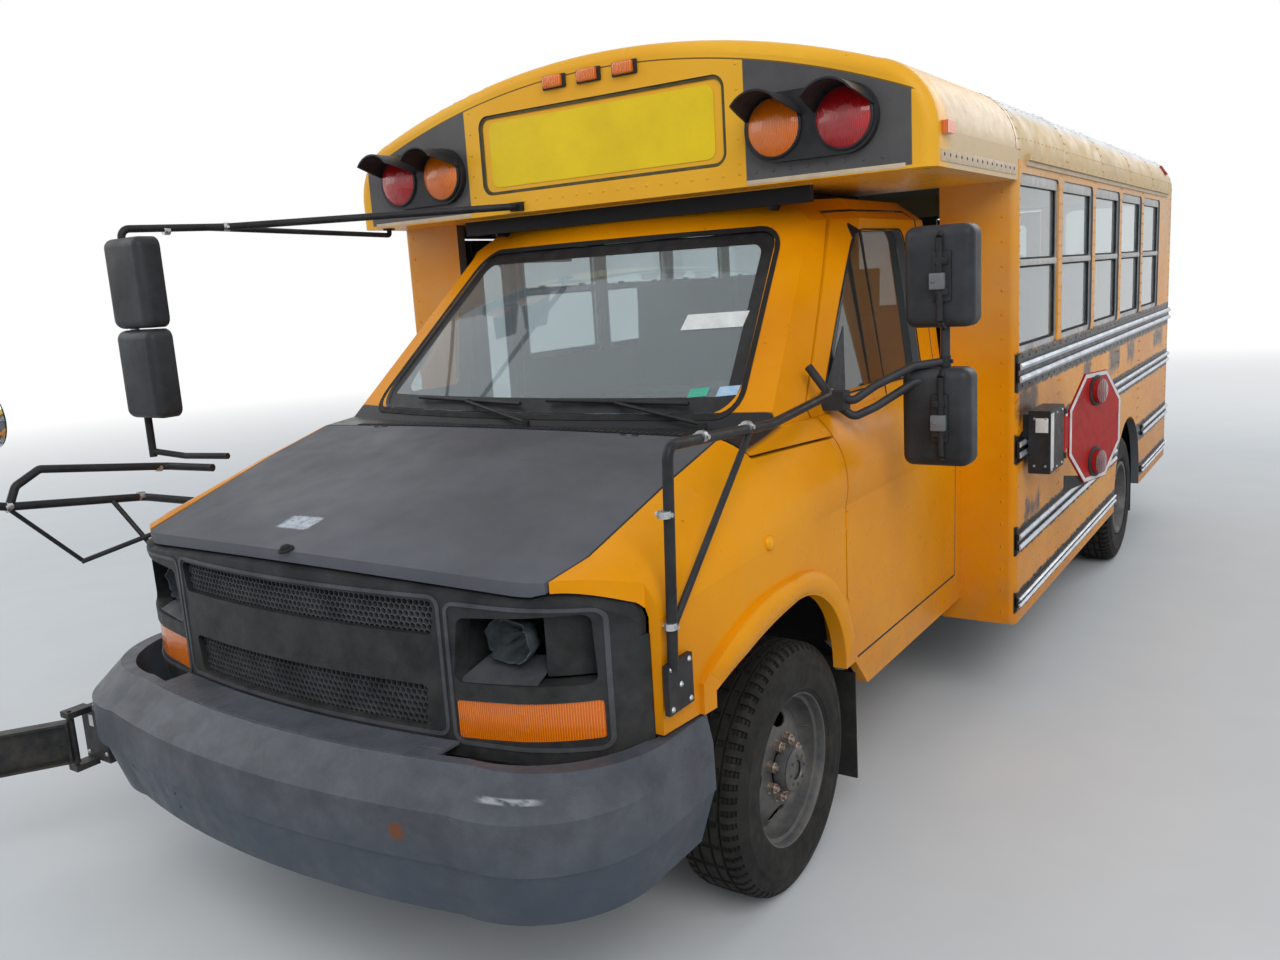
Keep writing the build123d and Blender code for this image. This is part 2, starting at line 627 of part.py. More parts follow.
def wheel_liner():
    """The sheet over the front wheel, with a leg at its rear that carries the mud flap."""
    sheet = arch_prism(LINER, FOOTWELL_HALF + 20, 975, LINER_T) - arch_prism(LINER, 500, 1000)
    sheet -= box(500, 1000, FRONT_AXLE_Y, FRONT_AXLE_Y + 600, 0, 640)
    sheet -= box(500, 1000, FRONT_AXLE_Y - 600, FRONT_AXLE_Y, 0, 505)
    sheet -= box(500, 1000, FRONT_AXLE_Y - 480, FRONT_AXLE_Y, 0, 600)
    foot = FLAP_Y + FLAP_T + SEAT_GAP - FRONT_AXLE_Y
    leg = [(360.0, 640.0), (366.0, 648.0), (foot + LINER_T, 578.0), (foot + LINER_T, 500.0), (foot, 500.0),
           (foot, 575.0)]
    sheet += along_x([(FRONT_AXLE_Y + y, z) for y, z in leg], 600, 905)
    return sheet


def make_cab():
    outer = cab_lower() + greenhouse()
    inner = cab_lower(CAB_WALL) + greenhouse(CAB_WALL)
    shell = outer - inner
    nose = box(-1100, 1100, FRONT_AXLE_Y - 2000, COWL_Y, 0, 1500)
    front_trim = nose_block(400, 1500, 18, 0, 100.0)
    front_trim += box(-1100, 1100, FENDER_FRONT_Y, FRONT_AXLE_Y, 400, 1500)
    hood = (shell & nose) & hood_prism(0) & front_trim
    for fixed, moving, pocket in hood_hinges():
        hood = hood - pocket + moving
    node("hood", hood)

    # fenders from the nose to the door
    fender_rear = DOOR_FRONT_Y + 40
    side_zone = box(0, 1100, FRONT_AXLE_Y - 2000, COWL_Y, 0, 1500)
    side_zone -= hood_prism(PANEL_GAP)
    side_zone += box(880, 1100, COWL_Y - 1, fender_rear, 0, 1300)
    fender = (shell & side_zone) - arch_prism(ARCH_OPENING, 600, 1200)
    fender &= front_trim + box(700, 1100, FRONT_AXLE_Y, DOOR_FRONT_Y, 400, 1500)
    fender -= box(0, 1100, FRONT_AXLE_Y - 2000, FRONT_AXLE_Y - 470, 0, BUMPER_TOP_Z + PANEL_GAP)
    fender -= box(0, 1100, FRONT_AXLE_Y - 2000, FENDER_FRONT_Y, 0, 1060)
    fender -= box(0, 1100, FRONT_AXLE_Y - 2000, LEFT_FRONT_Y, 0, DOOR_LOW_Z)
    fender -= door_prism(PANEL_GAP)
    fender -= box(0, 740, FRONT_AXLE_Y - 2000, FRONT_AXLE_Y - 600, 0, 1400)
    lip = arch_prism(ARCH_LIP, 940, 1100) - arch_prism(ARCH_OPENING, 900, 1200)
    lip &= cab_lower(-ARCH_LIP_PROUD) - cab_lower(CAB_WALL)
    lip -= box(900, 1100, FRONT_AXLE_Y, FRONT_AXLE_Y + 600, 0, DOOR_LOW_Z)
    lip -= box(900, 1100, FRONT_AXLE_Y - 600, FRONT_AXLE_Y, 0, BUMPER_TOP_Z + PANEL_GAP)
    fender = fender + lip + wheel_liner()
    fender = fender.solids().sort_by(SortBy.VOLUME)[-1]
    left_fender = fender
    for fixed, moving, pocket in driver_door_hinges():
        left_fender = left_fender - pocket + fixed
    node("fenders", left_fender, mirror(fender, Plane.YZ))

    # the driver's door
    door = (outer - (cab_lower(DOOR_T) + greenhouse(DOOR_T))) & door_prism()
    win = [(DOOR_FRONT_Y + y, z) for y, z in DOOR_WINDOW]
    hole = along_x(win, 500, 1200)
    hole = fillet(hole.edges().filter_by(Axis.X), 45)
    door = door - hole - arch_prism(ARCH_LIP, 900, 1100, PANEL_GAP)
    # the rear edge follows an arc about the hinge, so that it clears the pillar behind it
    door &= rod_z(0, ROOF_TOP_Z, *DOOR_HINGE, DOOR_SWING_R)
    for fixed, moving, pocket in driver_door_hinges():
        door = door - pocket + moving
    node("driver_door", door.solids().sort_by(SortBy.VOLUME)[-1])
    pane = (greenhouse(26.0) - greenhouse(26.0 + GLASS_T)) & hole
    node("driver_door_glass", pane.solids().sort_by(SortBy.VOLUME)[-1])

    # cab shell: cowl, pillars, roof, sills, firewall and floor
    cab = shell - box(-1100, 1100, FRONT_AXLE_Y - 2000, COWL_Y + HOOD_REAR_GAP, 0, 1500)
    cab -= box(880, 1100, COWL_Y - 1, fender_rear, 0, 1308)
    cab -= box(-1100, -880, COWL_Y - 1, fender_rear, 0, 1308) - mirror(door_prism(), Plane.YZ)
    cab -= door_prism(PANEL_GAP)
    cab -= windshield_cutter(2000)
    # on the far side the body wall takes over behind the bulkhead
    cab -= box(-1100, -700, RIGHT_FRONT_Y - 6, LEFT_FRONT_Y + 10, 0, CAB_ROOF_Z - 140)
    quarter = [(DOOR_FRONT_Y + y, z) for y, z in ((75.0, 1412.0), (395.0, CAB_ROOF_Z - 248.0), (395.0, 1412.0))]
    quarter = fillet(along_x(quarter, -1200, -500).edges().filter_by(Axis.X), 25)
    cab -= quarter
    # the underside is open between the sills, whose front ends slant behind the wheel
    cab -= box(-SILL_IN_X, SILL_IN_X, FRONT_AXLE_Y - 2000, LEFT_FRONT_Y + 10, 0, CAB_FLOOR_Z - CAB_FLOOR_T)
    slant = [(300.0, 300.0), (652.0, 300.0), (392.0, SILL_TOP_Z), (300.0, SILL_TOP_Z)]
    slant = along_x([(FRONT_AXLE_Y + y, z) for y, z in slant], 880, 1100)
    for cut in (slant, arch_prism(ARCH_LIP, 880, 1100, PANEL_GAP)):
        cab -= cut
        cab -= mirror(cut, Plane.YZ)
    step_hole = box(-1100, -560, RIGHT_FRONT_Y - 6, LEFT_FRONT_Y + 10, 0, 900)
    floor_low = CAB_FLOOR_Z - CAB_FLOOR_T
    floor = box(-SILL_IN_X - 12, SILL_IN_X + 12, FRONT_AXLE_Y + 390, LEFT_FRONT_Y, floor_low, CAB_FLOOR_Z)
    for s in (-1, 1):
        riser = sorted((s * SILL_IN_X, s * (SILL_IN_X + 12)))
        floor += box(*riser, FRONT_AXLE_Y + 500, LEFT_FRONT_Y, CAB_BASE_Z + 5, CAB_FLOOR_Z)
    cab += floor - step_hole
    firewall = box(-850, 850, COWL_Y + 30, COWL_Y + 60, 975, 1345)
    firewall += box(-FOOTWELL_HALF, FOOTWELL_HALF, COWL_Y + 30, COWL_Y + 60, floor_low, 976)
    firewall += box(-FOOTWELL_HALF, FOOTWELL_HALF, COWL_Y + 30, FRONT_AXLE_Y + 400, floor_low, CAB_FLOOR_Z)
    for s in (-1, 1):
        wall = sorted((s * (FOOTWELL_HALF - 12), s * FOOTWELL_HALF))
        firewall += box(*wall, COWL_Y + 30, FRONT_AXLE_Y + 400, floor_low, 990)
    firewall -= box(-330, 330, COWL_Y, FRONT_AXLE_Y + 330, 0, 1060)
    cab += firewall & (outer - box(-2000, 2000, -9000, COWL_Y, 0, 3000))
    for fixed, moving, pocket in hood_hinges():
        cab = cab - pocket + fixed
    node("cab_shell", cab)

    glass = (greenhouse(10.0) - greenhouse(10.0 + GLASS_T)) & windshield_cutter(0.6)
    pane = (greenhouse(12.0) - greenhouse(12.0 + GLASS_T)) & quarter
    glass_solids = [glass.solids().sort_by(SortBy.VOLUME)[-1], pane.solids().sort_by(SortBy.VOLUME)[-1]]
    NODES["side_glass"] += glass_solids


WINDSHIELD_TOP_Z = CAB_ROOF_Z - 110.0
WINDSHIELD_CORNERS = [(-760.0, 1395.0), (760.0, 1395.0), (640.0, WINDSHIELD_TOP_Z), (-640.0, WINDSHIELD_TOP_Z)]


def windshield_cutter(back):
    """The windshield opening, cut straight back from the front."""
    plane = Plane(origin=(0, FRONT_AXLE_Y - 200, 0), x_dir=(1, 0, 0), z_dir=(0, -1, 0))
    face = make_face(Polyline(*WINDSHIELD_CORNERS, close=True))
    face = fillet(face.vertices(), 70)
    if back < 1:
        face = offset(face, -back)
    return extrude(plane * face, 1000, dir=(0, 1, 0))


def nose_plan(offset_y=0.0, inset=0.0, rear=-600.0):
    """Plan of the nose: a shallow arc across the front, turned back at both corners."""
    front = FASCIA_Y + offset_y
    side = FASCIA_HALF - inset
    corner = 700.0 - inset
    edges = [
        ThreePointArc((-corner, front + 75), (0, front), (corner, front + 75)),
        ThreePointArc((corner, front + 75), (side - 98, front + 155), (side, front + 260)),
        Line((side, front + 260), (side, FRONT_AXLE_Y + rear)),
        Line((side, FRONT_AXLE_Y + rear), (-side, FRONT_AXLE_Y + rear)),
        Line((-side, FRONT_AXLE_Y + rear), (-side, front + 260)),
        ThreePointArc((-side, front + 260), (-side + 98, front + 155), (-corner, front + 75)),
    ]
    return make_face(Curve() + edges)


def nose_block(z0, z1, offset_y=0.0, inset=0.0, rear=-600.0):
    return extrude(Plane.XY.offset(z0) * nose_plan(offset_y, inset, rear), z1 - z0, dir=(0, 0, 1))


def front_hole(points, corner, y1=-700.0):
    plane = Plane(origin=(0, FRONT_AXLE_Y - 1400, 0), x_dir=(1, 0, 0), z_dir=(0, -1, 0))
    face = fillet(make_face(Polyline(*points, close=True)).vertices(), corner)
    return extrude(plane * face, 1400 + y1, dir=(0, 1, 0))


def make_front():
    skin = nose_block(FASCIA_LOW_Z, FASCIA_TOP_Z)
    skin -= nose_block(FASCIA_LOW_Z - 5, FASCIA_TOP_Z + 5, 42, 40, -590.0)
    under_hood = cab_lower(CAB_WALL + PANEL_GAP)
    skin &= under_hood + box(-1100, 1100, FRONT_AXLE_Y - 1400, FRONT_AXLE_Y, 0, 1000)
    skin &= box(-1100, 1100, FRONT_AXLE_Y - 1400, FENDER_FRONT_Y - SEAT_GAP, 0, 2000)
    for half_t, half_b, (z0, z1) in ((MESH_HALF_TOP, MESH_HALF_TOP - 12, UPPER_MESH),
                                     (MESH_HALF_LOW + 15, MESH_HALF_LOW, LOWER_MESH)):
        skin -= front_hole([(-half_b, z0), (half_b, z0), (half_t, z1), (-half_t, z1)], 16)
    for s in (-1, 1):
        bezel = [(s * BEZEL_IN, 892), (s * BEZEL_OUT, 900), (s * (BEZEL_OUT - 6), 1068),
                 (s * (BEZEL_IN + 22), 1052)]
        skin -= front_hole(bezel, 22)
        turn = [(s * BEZEL_IN, TURN_Z0), (s * (BEZEL_OUT + 8), TURN_Z0 + 14),
                (s * (BEZEL_OUT + 8), TURN_Z1 + 2), (s * BEZEL_IN, TURN_Z1 - 10)]
        skin -= front_hole(turn, 10)
    # each headlamp well: a floor that runs back to the lamp's empty socket and a blank outboard
    wells = []
    for s in (-1, 1):
        x0, x1 = sorted((s * (BEZEL_IN - 14), s * (BEZEL_OUT + 2)))
        well = nose_block(880, 1075, 20, 40, -590.0) & box(x0, x1, -9000, 0, 880, 1075)
        hollow_x = sorted((s * BEZEL_IN, s * (BEZEL_OUT - 12)))
        well -= nose_block(892, 1062, 0, 52, -640.0) & box(*hollow_x, -9000, 0, 892, 1062)
        blank_x = sorted((s * 742.0, s * (BEZEL_OUT - 12)))
        well += nose_block(905, 1052, 26, 52, -640.0) & box(*blank_x, -9000, 0, 905, 1052)
        well -= rod_y(FRONT_AXLE_Y - 700, FRONT_AXLE_Y - 560, s * 655, 975, 62)
        wells.append(well)
    fascia = skin + wells
    node("front_fascia", fascia.solids().sort_by(SortBy.VOLUME)[-1])

    # grille meshes of slanted bars both ways
    meshes = []
    for half_t, half_b, (z0, z1) in ((MESH_HALF_TOP, MESH_HALF_TOP - 12, UPPER_MESH),
                                     (MESH_HALF_LOW + 15, MESH_HALF_LOW, LOWER_MESH)):
        opening = front_hole([(-half_b - 8, z0 - 8), (half_b + 8, z0 - 8), (half_t + 8, z1 + 8),
                              (-half_t - 8, z1 + 8)], 16)
        sheet = nose_block(z0 - 8, z1 + 8, 42.3, 60, -600.0) - nose_block(z0 - 9, z1 + 9, 50.3, 68, -590.0)
        meshes.append((sheet & opening).solids().sort_by(SortBy.VOLUME)[-1])
    node("grille_mesh", meshes)

    lamps = []
    for s in (-1, 1):
        turn = [(s * (BEZEL_IN + 1), TURN_Z0 + 1), (s * (BEZEL_OUT + 7), TURN_Z0 + 15),
                (s * (BEZEL_OUT + 7), TURN_Z1 + 1), (s * (BEZEL_IN + 1), TURN_Z1 - 11)]
        lens = (nose_block(700, 900, 3, 2, -610.0) - nose_block(690, 910, 40, 38, -600.0)) & front_hole(turn, 9)
        lamps.append(lens.solids().sort_by(SortBy.VOLUME)[-1])
    NODES.setdefault("amber_lamps", []).extend(lamps)

    node("bumpers", front_bumper(), rear_bumper())


def bumper_plan(depth, half, back):
    """Bumper outline seen from above, wrapped round both corners."""
    front = BUMPER_FRONT_Y + depth
    edges = [
        ThreePointArc((-half * 0.66, front + 70), (0, front), (half * 0.66, front + 70)),
        ThreePointArc((half * 0.66, front + 70), (half * 0.93, front + 190), (half, front + 400)),
        Line((half, front + 400), (half, back)),
        Line((half, back), (-half, back)),
        Line((-half, back), (-half, front + 400)),
        ThreePointArc((-half, front + 400), (-half * 0.93, front + 190), (-half * 0.66, front + 70)),
    ]
    return make_face(Curve() + edges)


def bumper_block(grow=0.0):
    """The front bumper's outer form as a full block."""
    levels = [(BUMPER_LOW_Z - grow, 45.0, BUMPER_HALF - 45), (BUMPER_CREASE_Z, 12.0, BUMPER_HALF),
              (BUMPER_CREASE_Z + 6, 0.0, BUMPER_HALF + 6), (BUMPER_TOP_Z - 75, 0.0, BUMPER_HALF + 4),
              (BUMPER_TOP_Z, 95.0, BUMPER_HALF - 12)]
    plans = [Plane.XY.offset(z) * bumper_plan(d - grow, h + grow, BUMPER_BACK_Y) for z, d, h in levels]
    return loft(plans, ruled=True)


def front_bumper():
    back = BUMPER_BACK_Y
    outer = bumper_block()
    levels = ((BUMPER_LOW_Z - 5, 115.0, BUMPER_HALF - 100), (BUMPER_TOP_Z + 5, 120.0, BUMPER_HALF - 55))
    inner = loft([Plane.XY.offset(z) * bumper_plan(d, h, back + 5) for z, d, h in levels], ruled=True)
    bumper = outer - inner
    step = nose_block(BUMPER_TOP_Z - 60, BUMPER_TOP_Z + 5, 0, -2, -480.0)
    bumper -= step & box(-560, 560, -9000, 0, 0, 2000)
    bumper -= nose_block(FASCIA_LOW_Z - 3, FASCIA_TOP_Z, -3, -3, -400.0)
    shelf = nose_block(BUMPER_TOP_Z - 92, BUMPER_TOP_Z - 62, -60, -10, -560.0)
    bumper += (shelf & box(-560, 560, -9000, 0, 0, 2000)) - inner
    brackets = []
    for s in (-1, 1):
        x = s * RAIL_X
        brackets.append(box(x - 30, x + 30, BUMPER_FRONT_Y + 60, FRONT_AXLE_Y - 960, 500, 600))
    bumper = bumper + brackets
    return bumper.solids().sort_by(SortBy.VOLUME)[-1]


def rear_bumper():
    y0 = BODY_REAR_Y + 2.0
    bar = box(-BODY_HALF + 10, BODY_HALF - 10, y0, y0 + 95, 480, 730)
    bar = fillet(bar.edges().filter_by(Axis.Z).filter_by(lambda e: e.center().Y > y0 + 94), 18)
    bar -= box(-BODY_HALF + 16, BODY_HALF - 16, y0 - 1, y0 + 89, 486, 724) - box(
        -RAIL_X - 60, RAIL_X + 60, y0 - 2, y0 + 90, 480, 640)
    for s in (-1, 1):
        bar -= rod_z(400, 800, s * TOW_EYE_X, y0 + 43, TOW_EYE_R)
        bar -= rod_y(y0 + 80, y0 + 100, s * PLATE_HOLE_SPACING / 2, 685, PLATE_HOLE_R)
    return bar


def make_chassis():
    rails = []
    y0 = FRONT_AXLE_Y - 960.0
    y1 = BODY_REAR_Y + 2.0
    for s in (-1, 1):
        x0, x1 = sorted((s * (RAIL_X - RAIL_W / 2), s * (RAIL_X + RAIL_W / 2)))
        rail = box(x0, x1, y0, y1, RAIL_Z0, RAIL_Z1)
        web = sorted((s * (RAIL_IN_X - 1), s * RAIL_WEB_X))
        rail -= box(*web, y0 + 60, y1 - 60, RAIL_Z0 + RAIL_WALL, RAIL_Z1 - RAIL_WALL)
        rails.append(rail)
    frame = rails[0] + rails[1]
    for y in (y0 + 60, FRONT_AXLE_Y + 900, FRONT_AXLE_Y + 1900, REAR_AXLE_Y - 650, REAR_AXLE_Y + 650, y1 - 90):
        frame += box(-RAIL_X, RAIL_X, y - 35, y + 35, RAIL_Z0 + RAIL_WALL, RAIL_Z1 - 30)
    sill_z = FLOOR_TOP_Z - FLOOR_T
    for i in range(8):
        y = LEFT_FRONT_Y + 150 + i * 540
        half = BODY_HALF - WALL_T - 4
        if abs(y - REAR_AXLE_Y) < ARCH_HALF + 70:
            half = WHEEL_WELL_X - 4
        frame += box(-half, half, y - 25, y + 25, RAIL_Z1 - 6, sill_z)
    for s in (-1, 1):
        x = s * RAIL_X
        mount_y = FRONT_AXLE_Y + 450
        frame += box(x - 40, x + 40, mount_y, mount_y + 110, RAIL_Z1 - 5, CAB_FLOOR_Z - CAB_FLOOR_T)
    node("chassis_frame", frame)

    engine = box(-290, 290, FRONT_AXLE_Y - 620, FRONT_AXLE_Y + 180, 520, 1030)
    foot = RAIL_WEB_X - SEAT_GAP
    engine += box(-foot, foot, FRONT_AXLE_Y - 230, FRONT_AXLE_Y - 170, 540, 600)
    node("engine_block", engine)

    # front crossmember with its control arms
    cross = box(-(RAIL_X - RAIL_W / 2) - 1, RAIL_X - RAIL_W / 2 + 1, FRONT_AXLE_Y - 70, FRONT_AXLE_Y + 70, 350,
                RAIL_Z0)
    cross += box(-RAIL_X - 60, RAIL_X + 60, FRONT_AXLE_Y - 90, FRONT_AXLE_Y + 90, 350, RAIL_Z0)
    tip = KINGPIN_X - 8
    lower = along_z([(470, FRONT_AXLE_Y - 85), (tip, FRONT_AXLE_Y - 34), (tip, FRONT_AXLE_Y + 34),
                     (470, FRONT_AXLE_Y + 85)], ARM_LOW_Z0, ARM_LOW_Z1)
    upper = along_z([(500, FRONT_AXLE_Y - 70), (tip, FRONT_AXLE_Y - 30), (tip, FRONT_AXLE_Y + 30),
                     (500, FRONT_AXLE_Y + 70)], ARM_UP_Z0, ARM_UP_Z1)
    lower += rod_z(ARM_LOW_Z0, ARM_LOW_Z1, KINGPIN_X, FRONT_AXLE_Y, 38)
    upper += rod_z(ARM_UP_Z0, ARM_UP_Z1, KINGPIN_X, FRONT_AXLE_Y, 36)
    tower = box(RAIL_OUT_X + SEAT_GAP, 530, FRONT_AXLE_Y - 60, FRONT_AXLE_Y + 60, ARM_LOW_Z0, ARM_UP_Z1)
    pin = rod_z(ARM_LOW_Z0 - 30, ARM_UP_Z1 + 30, KINGPIN_X, FRONT_AXLE_Y, KINGPIN_R + RUNNING_GAP)
    arms = (tower + lower + upper) - pin
    cross = cross + arms + mirror(arms, Plane.YZ)
    # rear axle with its leaf springs
    tube_half = (DUAL_OUTER_X + DUAL_INNER_X) / 2 - 66
    axle = rod_x(-tube_half, tube_half, REAR_AXLE_Y, TYRE_R, AXLE_TUBE_R)
    axle += rod_x(-1025, 1025, REAR_AXLE_Y, TYRE_R, SPINDLE_R)
    axle += Pos(0, REAR_AXLE_Y, TYRE_R) * Sphere(165)
    axle += rod_y(REAR_AXLE_Y - 230, REAR_AXLE_Y - 100, 0, SHAFT_Z, 60)
    for s in (-1, 1):
        spring = [(-690, 452), (-690, 440), (0, 300), (690, 440), (690, 452), (0, 324)]
        x0, x1 = sorted((s * 505, s * 575))
        axle += along_x([(REAR_AXLE_Y + y, z) for y, z in spring], x0, x1)
        axle += box(x0, x1, REAR_AXLE_Y - 60, REAR_AXLE_Y + 60, 305, TYRE_R)
        for e in (-1, 1):
            y = REAR_AXLE_Y + e * 680
            axle += box(*sorted((s * (RAIL_X + RAIL_W / 2), s * 575)), y - 22, y + 22, 425, 500)
    node("axles", cross, axle)

    tank = box(-350, 350, REAR_AXLE_Y + 750, REAR_AXLE_Y + 1330, 380, 560)
    tank = fillet(tank.edges().filter_by(Axis.X), 45)
    for y in (REAR_AXLE_Y + 850, REAR_AXLE_Y + 1230):
        tank += box(-foot, foot, y - 25, y + 25, 540, 575)
    shaft = rod_y(FRONT_AXLE_Y + 780, REAR_AXLE_Y - 230 - SEAT_GAP, 0, SHAFT_Z, 45)
    gearbox = box(-170, 170, FRONT_AXLE_Y + 180 + SEAT_GAP, FRONT_AXLE_Y + 800, 350, 590)
    gearbox = fillet(gearbox.edges().filter_by(Axis.Y), 50)
    gearbox += box(-foot, foot, FRONT_AXLE_Y + 640, FRONT_AXLE_Y + 700, 490, 545)
    exhaust = rod_y(FRONT_AXLE_Y + 420, REAR_AXLE_Y - 560, EXHAUST_X, EXHAUST_Z, 30)
    exhaust += rod_y(FRONT_AXLE_Y + 1700, FRONT_AXLE_Y + 2500, EXHAUST_X, EXHAUST_Z, 76)
    hanger_top = RAIL_Z0 + RAIL_WALL - SEAT_GAP
    for y in (FRONT_AXLE_Y + 1900, REAR_AXLE_Y - 650):
        exhaust += box(EXHAUST_X - 12, EXHAUST_X + 12, y - 20, y + 20, EXHAUST_Z, hanger_top)
    node("driveline", tank, shaft + gearbox, exhaust)


# Wheels, drawn on the driver's side with the wheel's face towards +X
def tyre_profile(cx):
    half = TYRE_W / 2
    r = TYRE_R
    bead = RIM_LIP_R + 2.0
    edges = [
        Line((cx - half + 22, RIM_R), (cx + half - 22, RIM_R)),
        Line((cx + half - 22, RIM_R), (cx + half - 22, bead)),
        ThreePointArc((cx + half - 22, bead), (cx + half, RIM_R + 72), (cx + half - 14, r - 26)),
        ThreePointArc((cx + half - 14, r - 26), (cx + half - 24, r - 9), (cx + half - 42, r - 2)),
        ThreePointArc((cx + half - 42, r - 2), (cx, r), (cx - half + 42, r - 2)),
        ThreePointArc((cx - half + 42, r - 2), (cx - half + 24, r - 9), (cx - half + 14, r - 26)),
        ThreePointArc((cx - half + 14, r - 26), (cx - half, RIM_R + 72), (cx - half + 22, bead)),
        Line((cx - half + 22, bead), (cx - half + 22, RIM_R)),
    ]
    return make_face(Curve() + edges)


def spin_x(face, y, z):
    """Turns an (x, radius) outline about a wheel's axle line."""
    solid = revolve(Plane.XY * face, axis=Axis.X)
    return Pos(0, y, z) * solid


def rim_profile(cx, disc_x, hub_hole):
    """Rim barrel with its two lips and a dished disc."""
    half = TYRE_W / 2 - 22
    w = RIM_WALL
    barrel = Polyline(
        (cx - half - 12, RIM_LIP_R), (cx - half - 12, RIM_R - w), (cx - 35, RIM_R - 22 - w),
        (disc_x - 30, RIM_R - 24 - w), (disc_x - 18, RIM_R - 60), (disc_x, RIM_R - 78), (disc_x, hub_hole),
        (disc_x + 12, hub_hole), (disc_x + 12, RIM_R - 74), (disc_x - 4, RIM_R - 50),
        (disc_x - 10, RIM_R - 24 - w), (cx + half + 12, RIM_R - w), (cx + half + 12, RIM_LIP_R),
        (cx + half + SEAT_GAP, RIM_LIP_R), (cx + half + SEAT_GAP, RIM_R - SEAT_GAP),
        (cx - half - SEAT_GAP, RIM_R - SEAT_GAP), (cx - half - SEAT_GAP, RIM_LIP_R), close=True)
    return make_face(barrel)


def wheel_holes(x0, x1, y, z, radius, count, r):
    """A ring of holes or studs round a wheel's axle line."""
    out = []
    for i in range(count):
        a = math.radians(360.0 / count * (i + 0.5))
        hole = Pos((x0 + x1) / 2, y + radius * math.cos(a), z + radius * math.sin(a)) * (
            Rot(0, 90, 0) * Cylinder(r, abs(x1 - x0)))
        out.append(hole)
    return out


def make_wheels():
    for name, side in (("left", 1), ("right", -1)):
        y, z = FRONT_AXLE_Y, TYRE_R
        tyre = spin_x(tyre_profile(FRONT_TYRE_X), y, z)
        disc = FRONT_TYRE_X + 42
        rim = spin_x(rim_profile(FRONT_TYRE_X, disc, 60), y, z)
        rim -= wheel_holes(disc - 80, disc + 60, y, z, 140, HAND_HOLES, 24)
        hub = rod_x(disc - 70, disc + 62, y, z, 60) + rod_x(disc - 20, disc, y, z, 108)
        hub += rod_x(disc - 92, disc - 70, y, z, 165)
        hub += wheel_holes(disc + 10, disc + 42, y, z, NUT_CIRCLE_R, NUTS, 11)
        hub -= rod_x(disc - 200, disc + 40, y, z, SPINDLE_R + RUNNING_GAP)
        wheel = rim + hub
        knuckle = rod_z(ARM_LOW_Z0 - 18, ARM_UP_Z1 + 18, KINGPIN_X, y, KINGPIN_R)
        knuckle += rod_z(ARM_LOW_Z1 + 4, ARM_UP_Z0 - 4, KINGPIN_X, y, 32)
        knuckle += rod_x(KINGPIN_X, disc + 38, y, z, SPINDLE_R)
        knuckle += rod_x(KINGPIN_X, disc - 100, y, z, 46)
        if side < 0:
            tyre, wheel, knuckle = (mirror(s, Plane.YZ) for s in (tyre, wheel, knuckle))
        node("front_tyre_" + name, tyre)
        node("front_wheel_" + name, wheel)
        node("knuckle_" + name, knuckle)

        y = REAR_AXLE_Y
        outer = spin_x(tyre_profile(DUAL_OUTER_X), y, z)
        inner = spin_x(tyre_profile(DUAL_INNER_X), y, z)
        joint_x = (DUAL_OUTER_X + DUAL_INNER_X) / 2
        rim_out = spin_x(mirrored_rim(DUAL_OUTER_X, joint_x), y, z)
        rim_in = spin_x(rim_profile(DUAL_INNER_X, joint_x - 12, 60), y, z)
        rims = rim_out + rim_in
        rims -= wheel_holes(joint_x - 60, joint_x + 60, y, z, 140, HAND_HOLES, 24)
        hub = rod_x(joint_x - 60, joint_x + 110, y, z, 62) + rod_x(joint_x - 30, joint_x - 12, y, z, 108)
        hub += rod_x(joint_x - 130, joint_x - 30, y, z, 150)
        hub -= rod_x(joint_x - 140, joint_x - 55, y, z, 135)
        hub += wheel_holes(joint_x + 5, joint_x + 40, y, z, NUT_CIRCLE_R, NUTS, 11)
        hub -= rod_x(joint_x - 200, joint_x + 98, y, z, SPINDLE_R + RUNNING_GAP)
        wheel = rims + hub
        tyres = [outer, inner]
        if side < 0:
            tyres = [mirror(t, Plane.YZ) for t in tyres]
            wheel = mirror(wheel, Plane.YZ)
        node("rear_tyres_" + name, tyres)
        node("rear_wheels_" + name, wheel)


def mirrored_rim(cx, disc_x):
    """The outer wheel of a pair, its disc turned towards its twin."""
    face = rim_profile(cx, 2 * cx - disc_x - 12, 60)
    return mirror(face, Plane(origin=(cx, 0, 0), x_dir=(0, 1, 0), z_dir=(1, 0, 0)))


def lamp_pair(face_y, outward):
    """Plinth with two half-round hoods, and its amber and red lenses, for the driver's side."""
    x0, x1 = AMBER_LAMP_X, RED_LAMP_X
    z = CAP_LAMP_Z
    r = LAMP_R + 16
    y1 = face_y + outward * PLINTH_T
    ya, yb = sorted((face_y, y1))
    plinth = box(x0, x1, ya, yb, z - r, z + r) + rod_y(ya, yb, x0, z, r) + rod_y(ya, yb, x1, z, r)
    lenses = []
    for x in (x0, x1):
        tip = y1 + outward * LAMP_HOOD_LEN
        ha, hb = sorted((y1, tip))
        hood = rod_y(ha, hb, x, z, LAMP_R + 12) - rod_y(ha - 1, hb + 1, x, z, LAMP_R + 6)
        cut = [(y1, z + 25), (tip, z + 60), (tip, z - 200), (y1, z - 200)]
        hood -= along_x(cut, x - 200, x + 200)
        plinth += hood
        lens = Pos(x, y1 + outward * (SEAT_GAP - 110), z) * Sphere(145)
        keep = sorted((y1 + outward * SEAT_GAP, y1 + outward * 60))
        lens &= rod_y(keep[0], keep[1], x, z, LAMP_R)
        lenses.append(lens)
    return plinth, lenses[0], lenses[1]


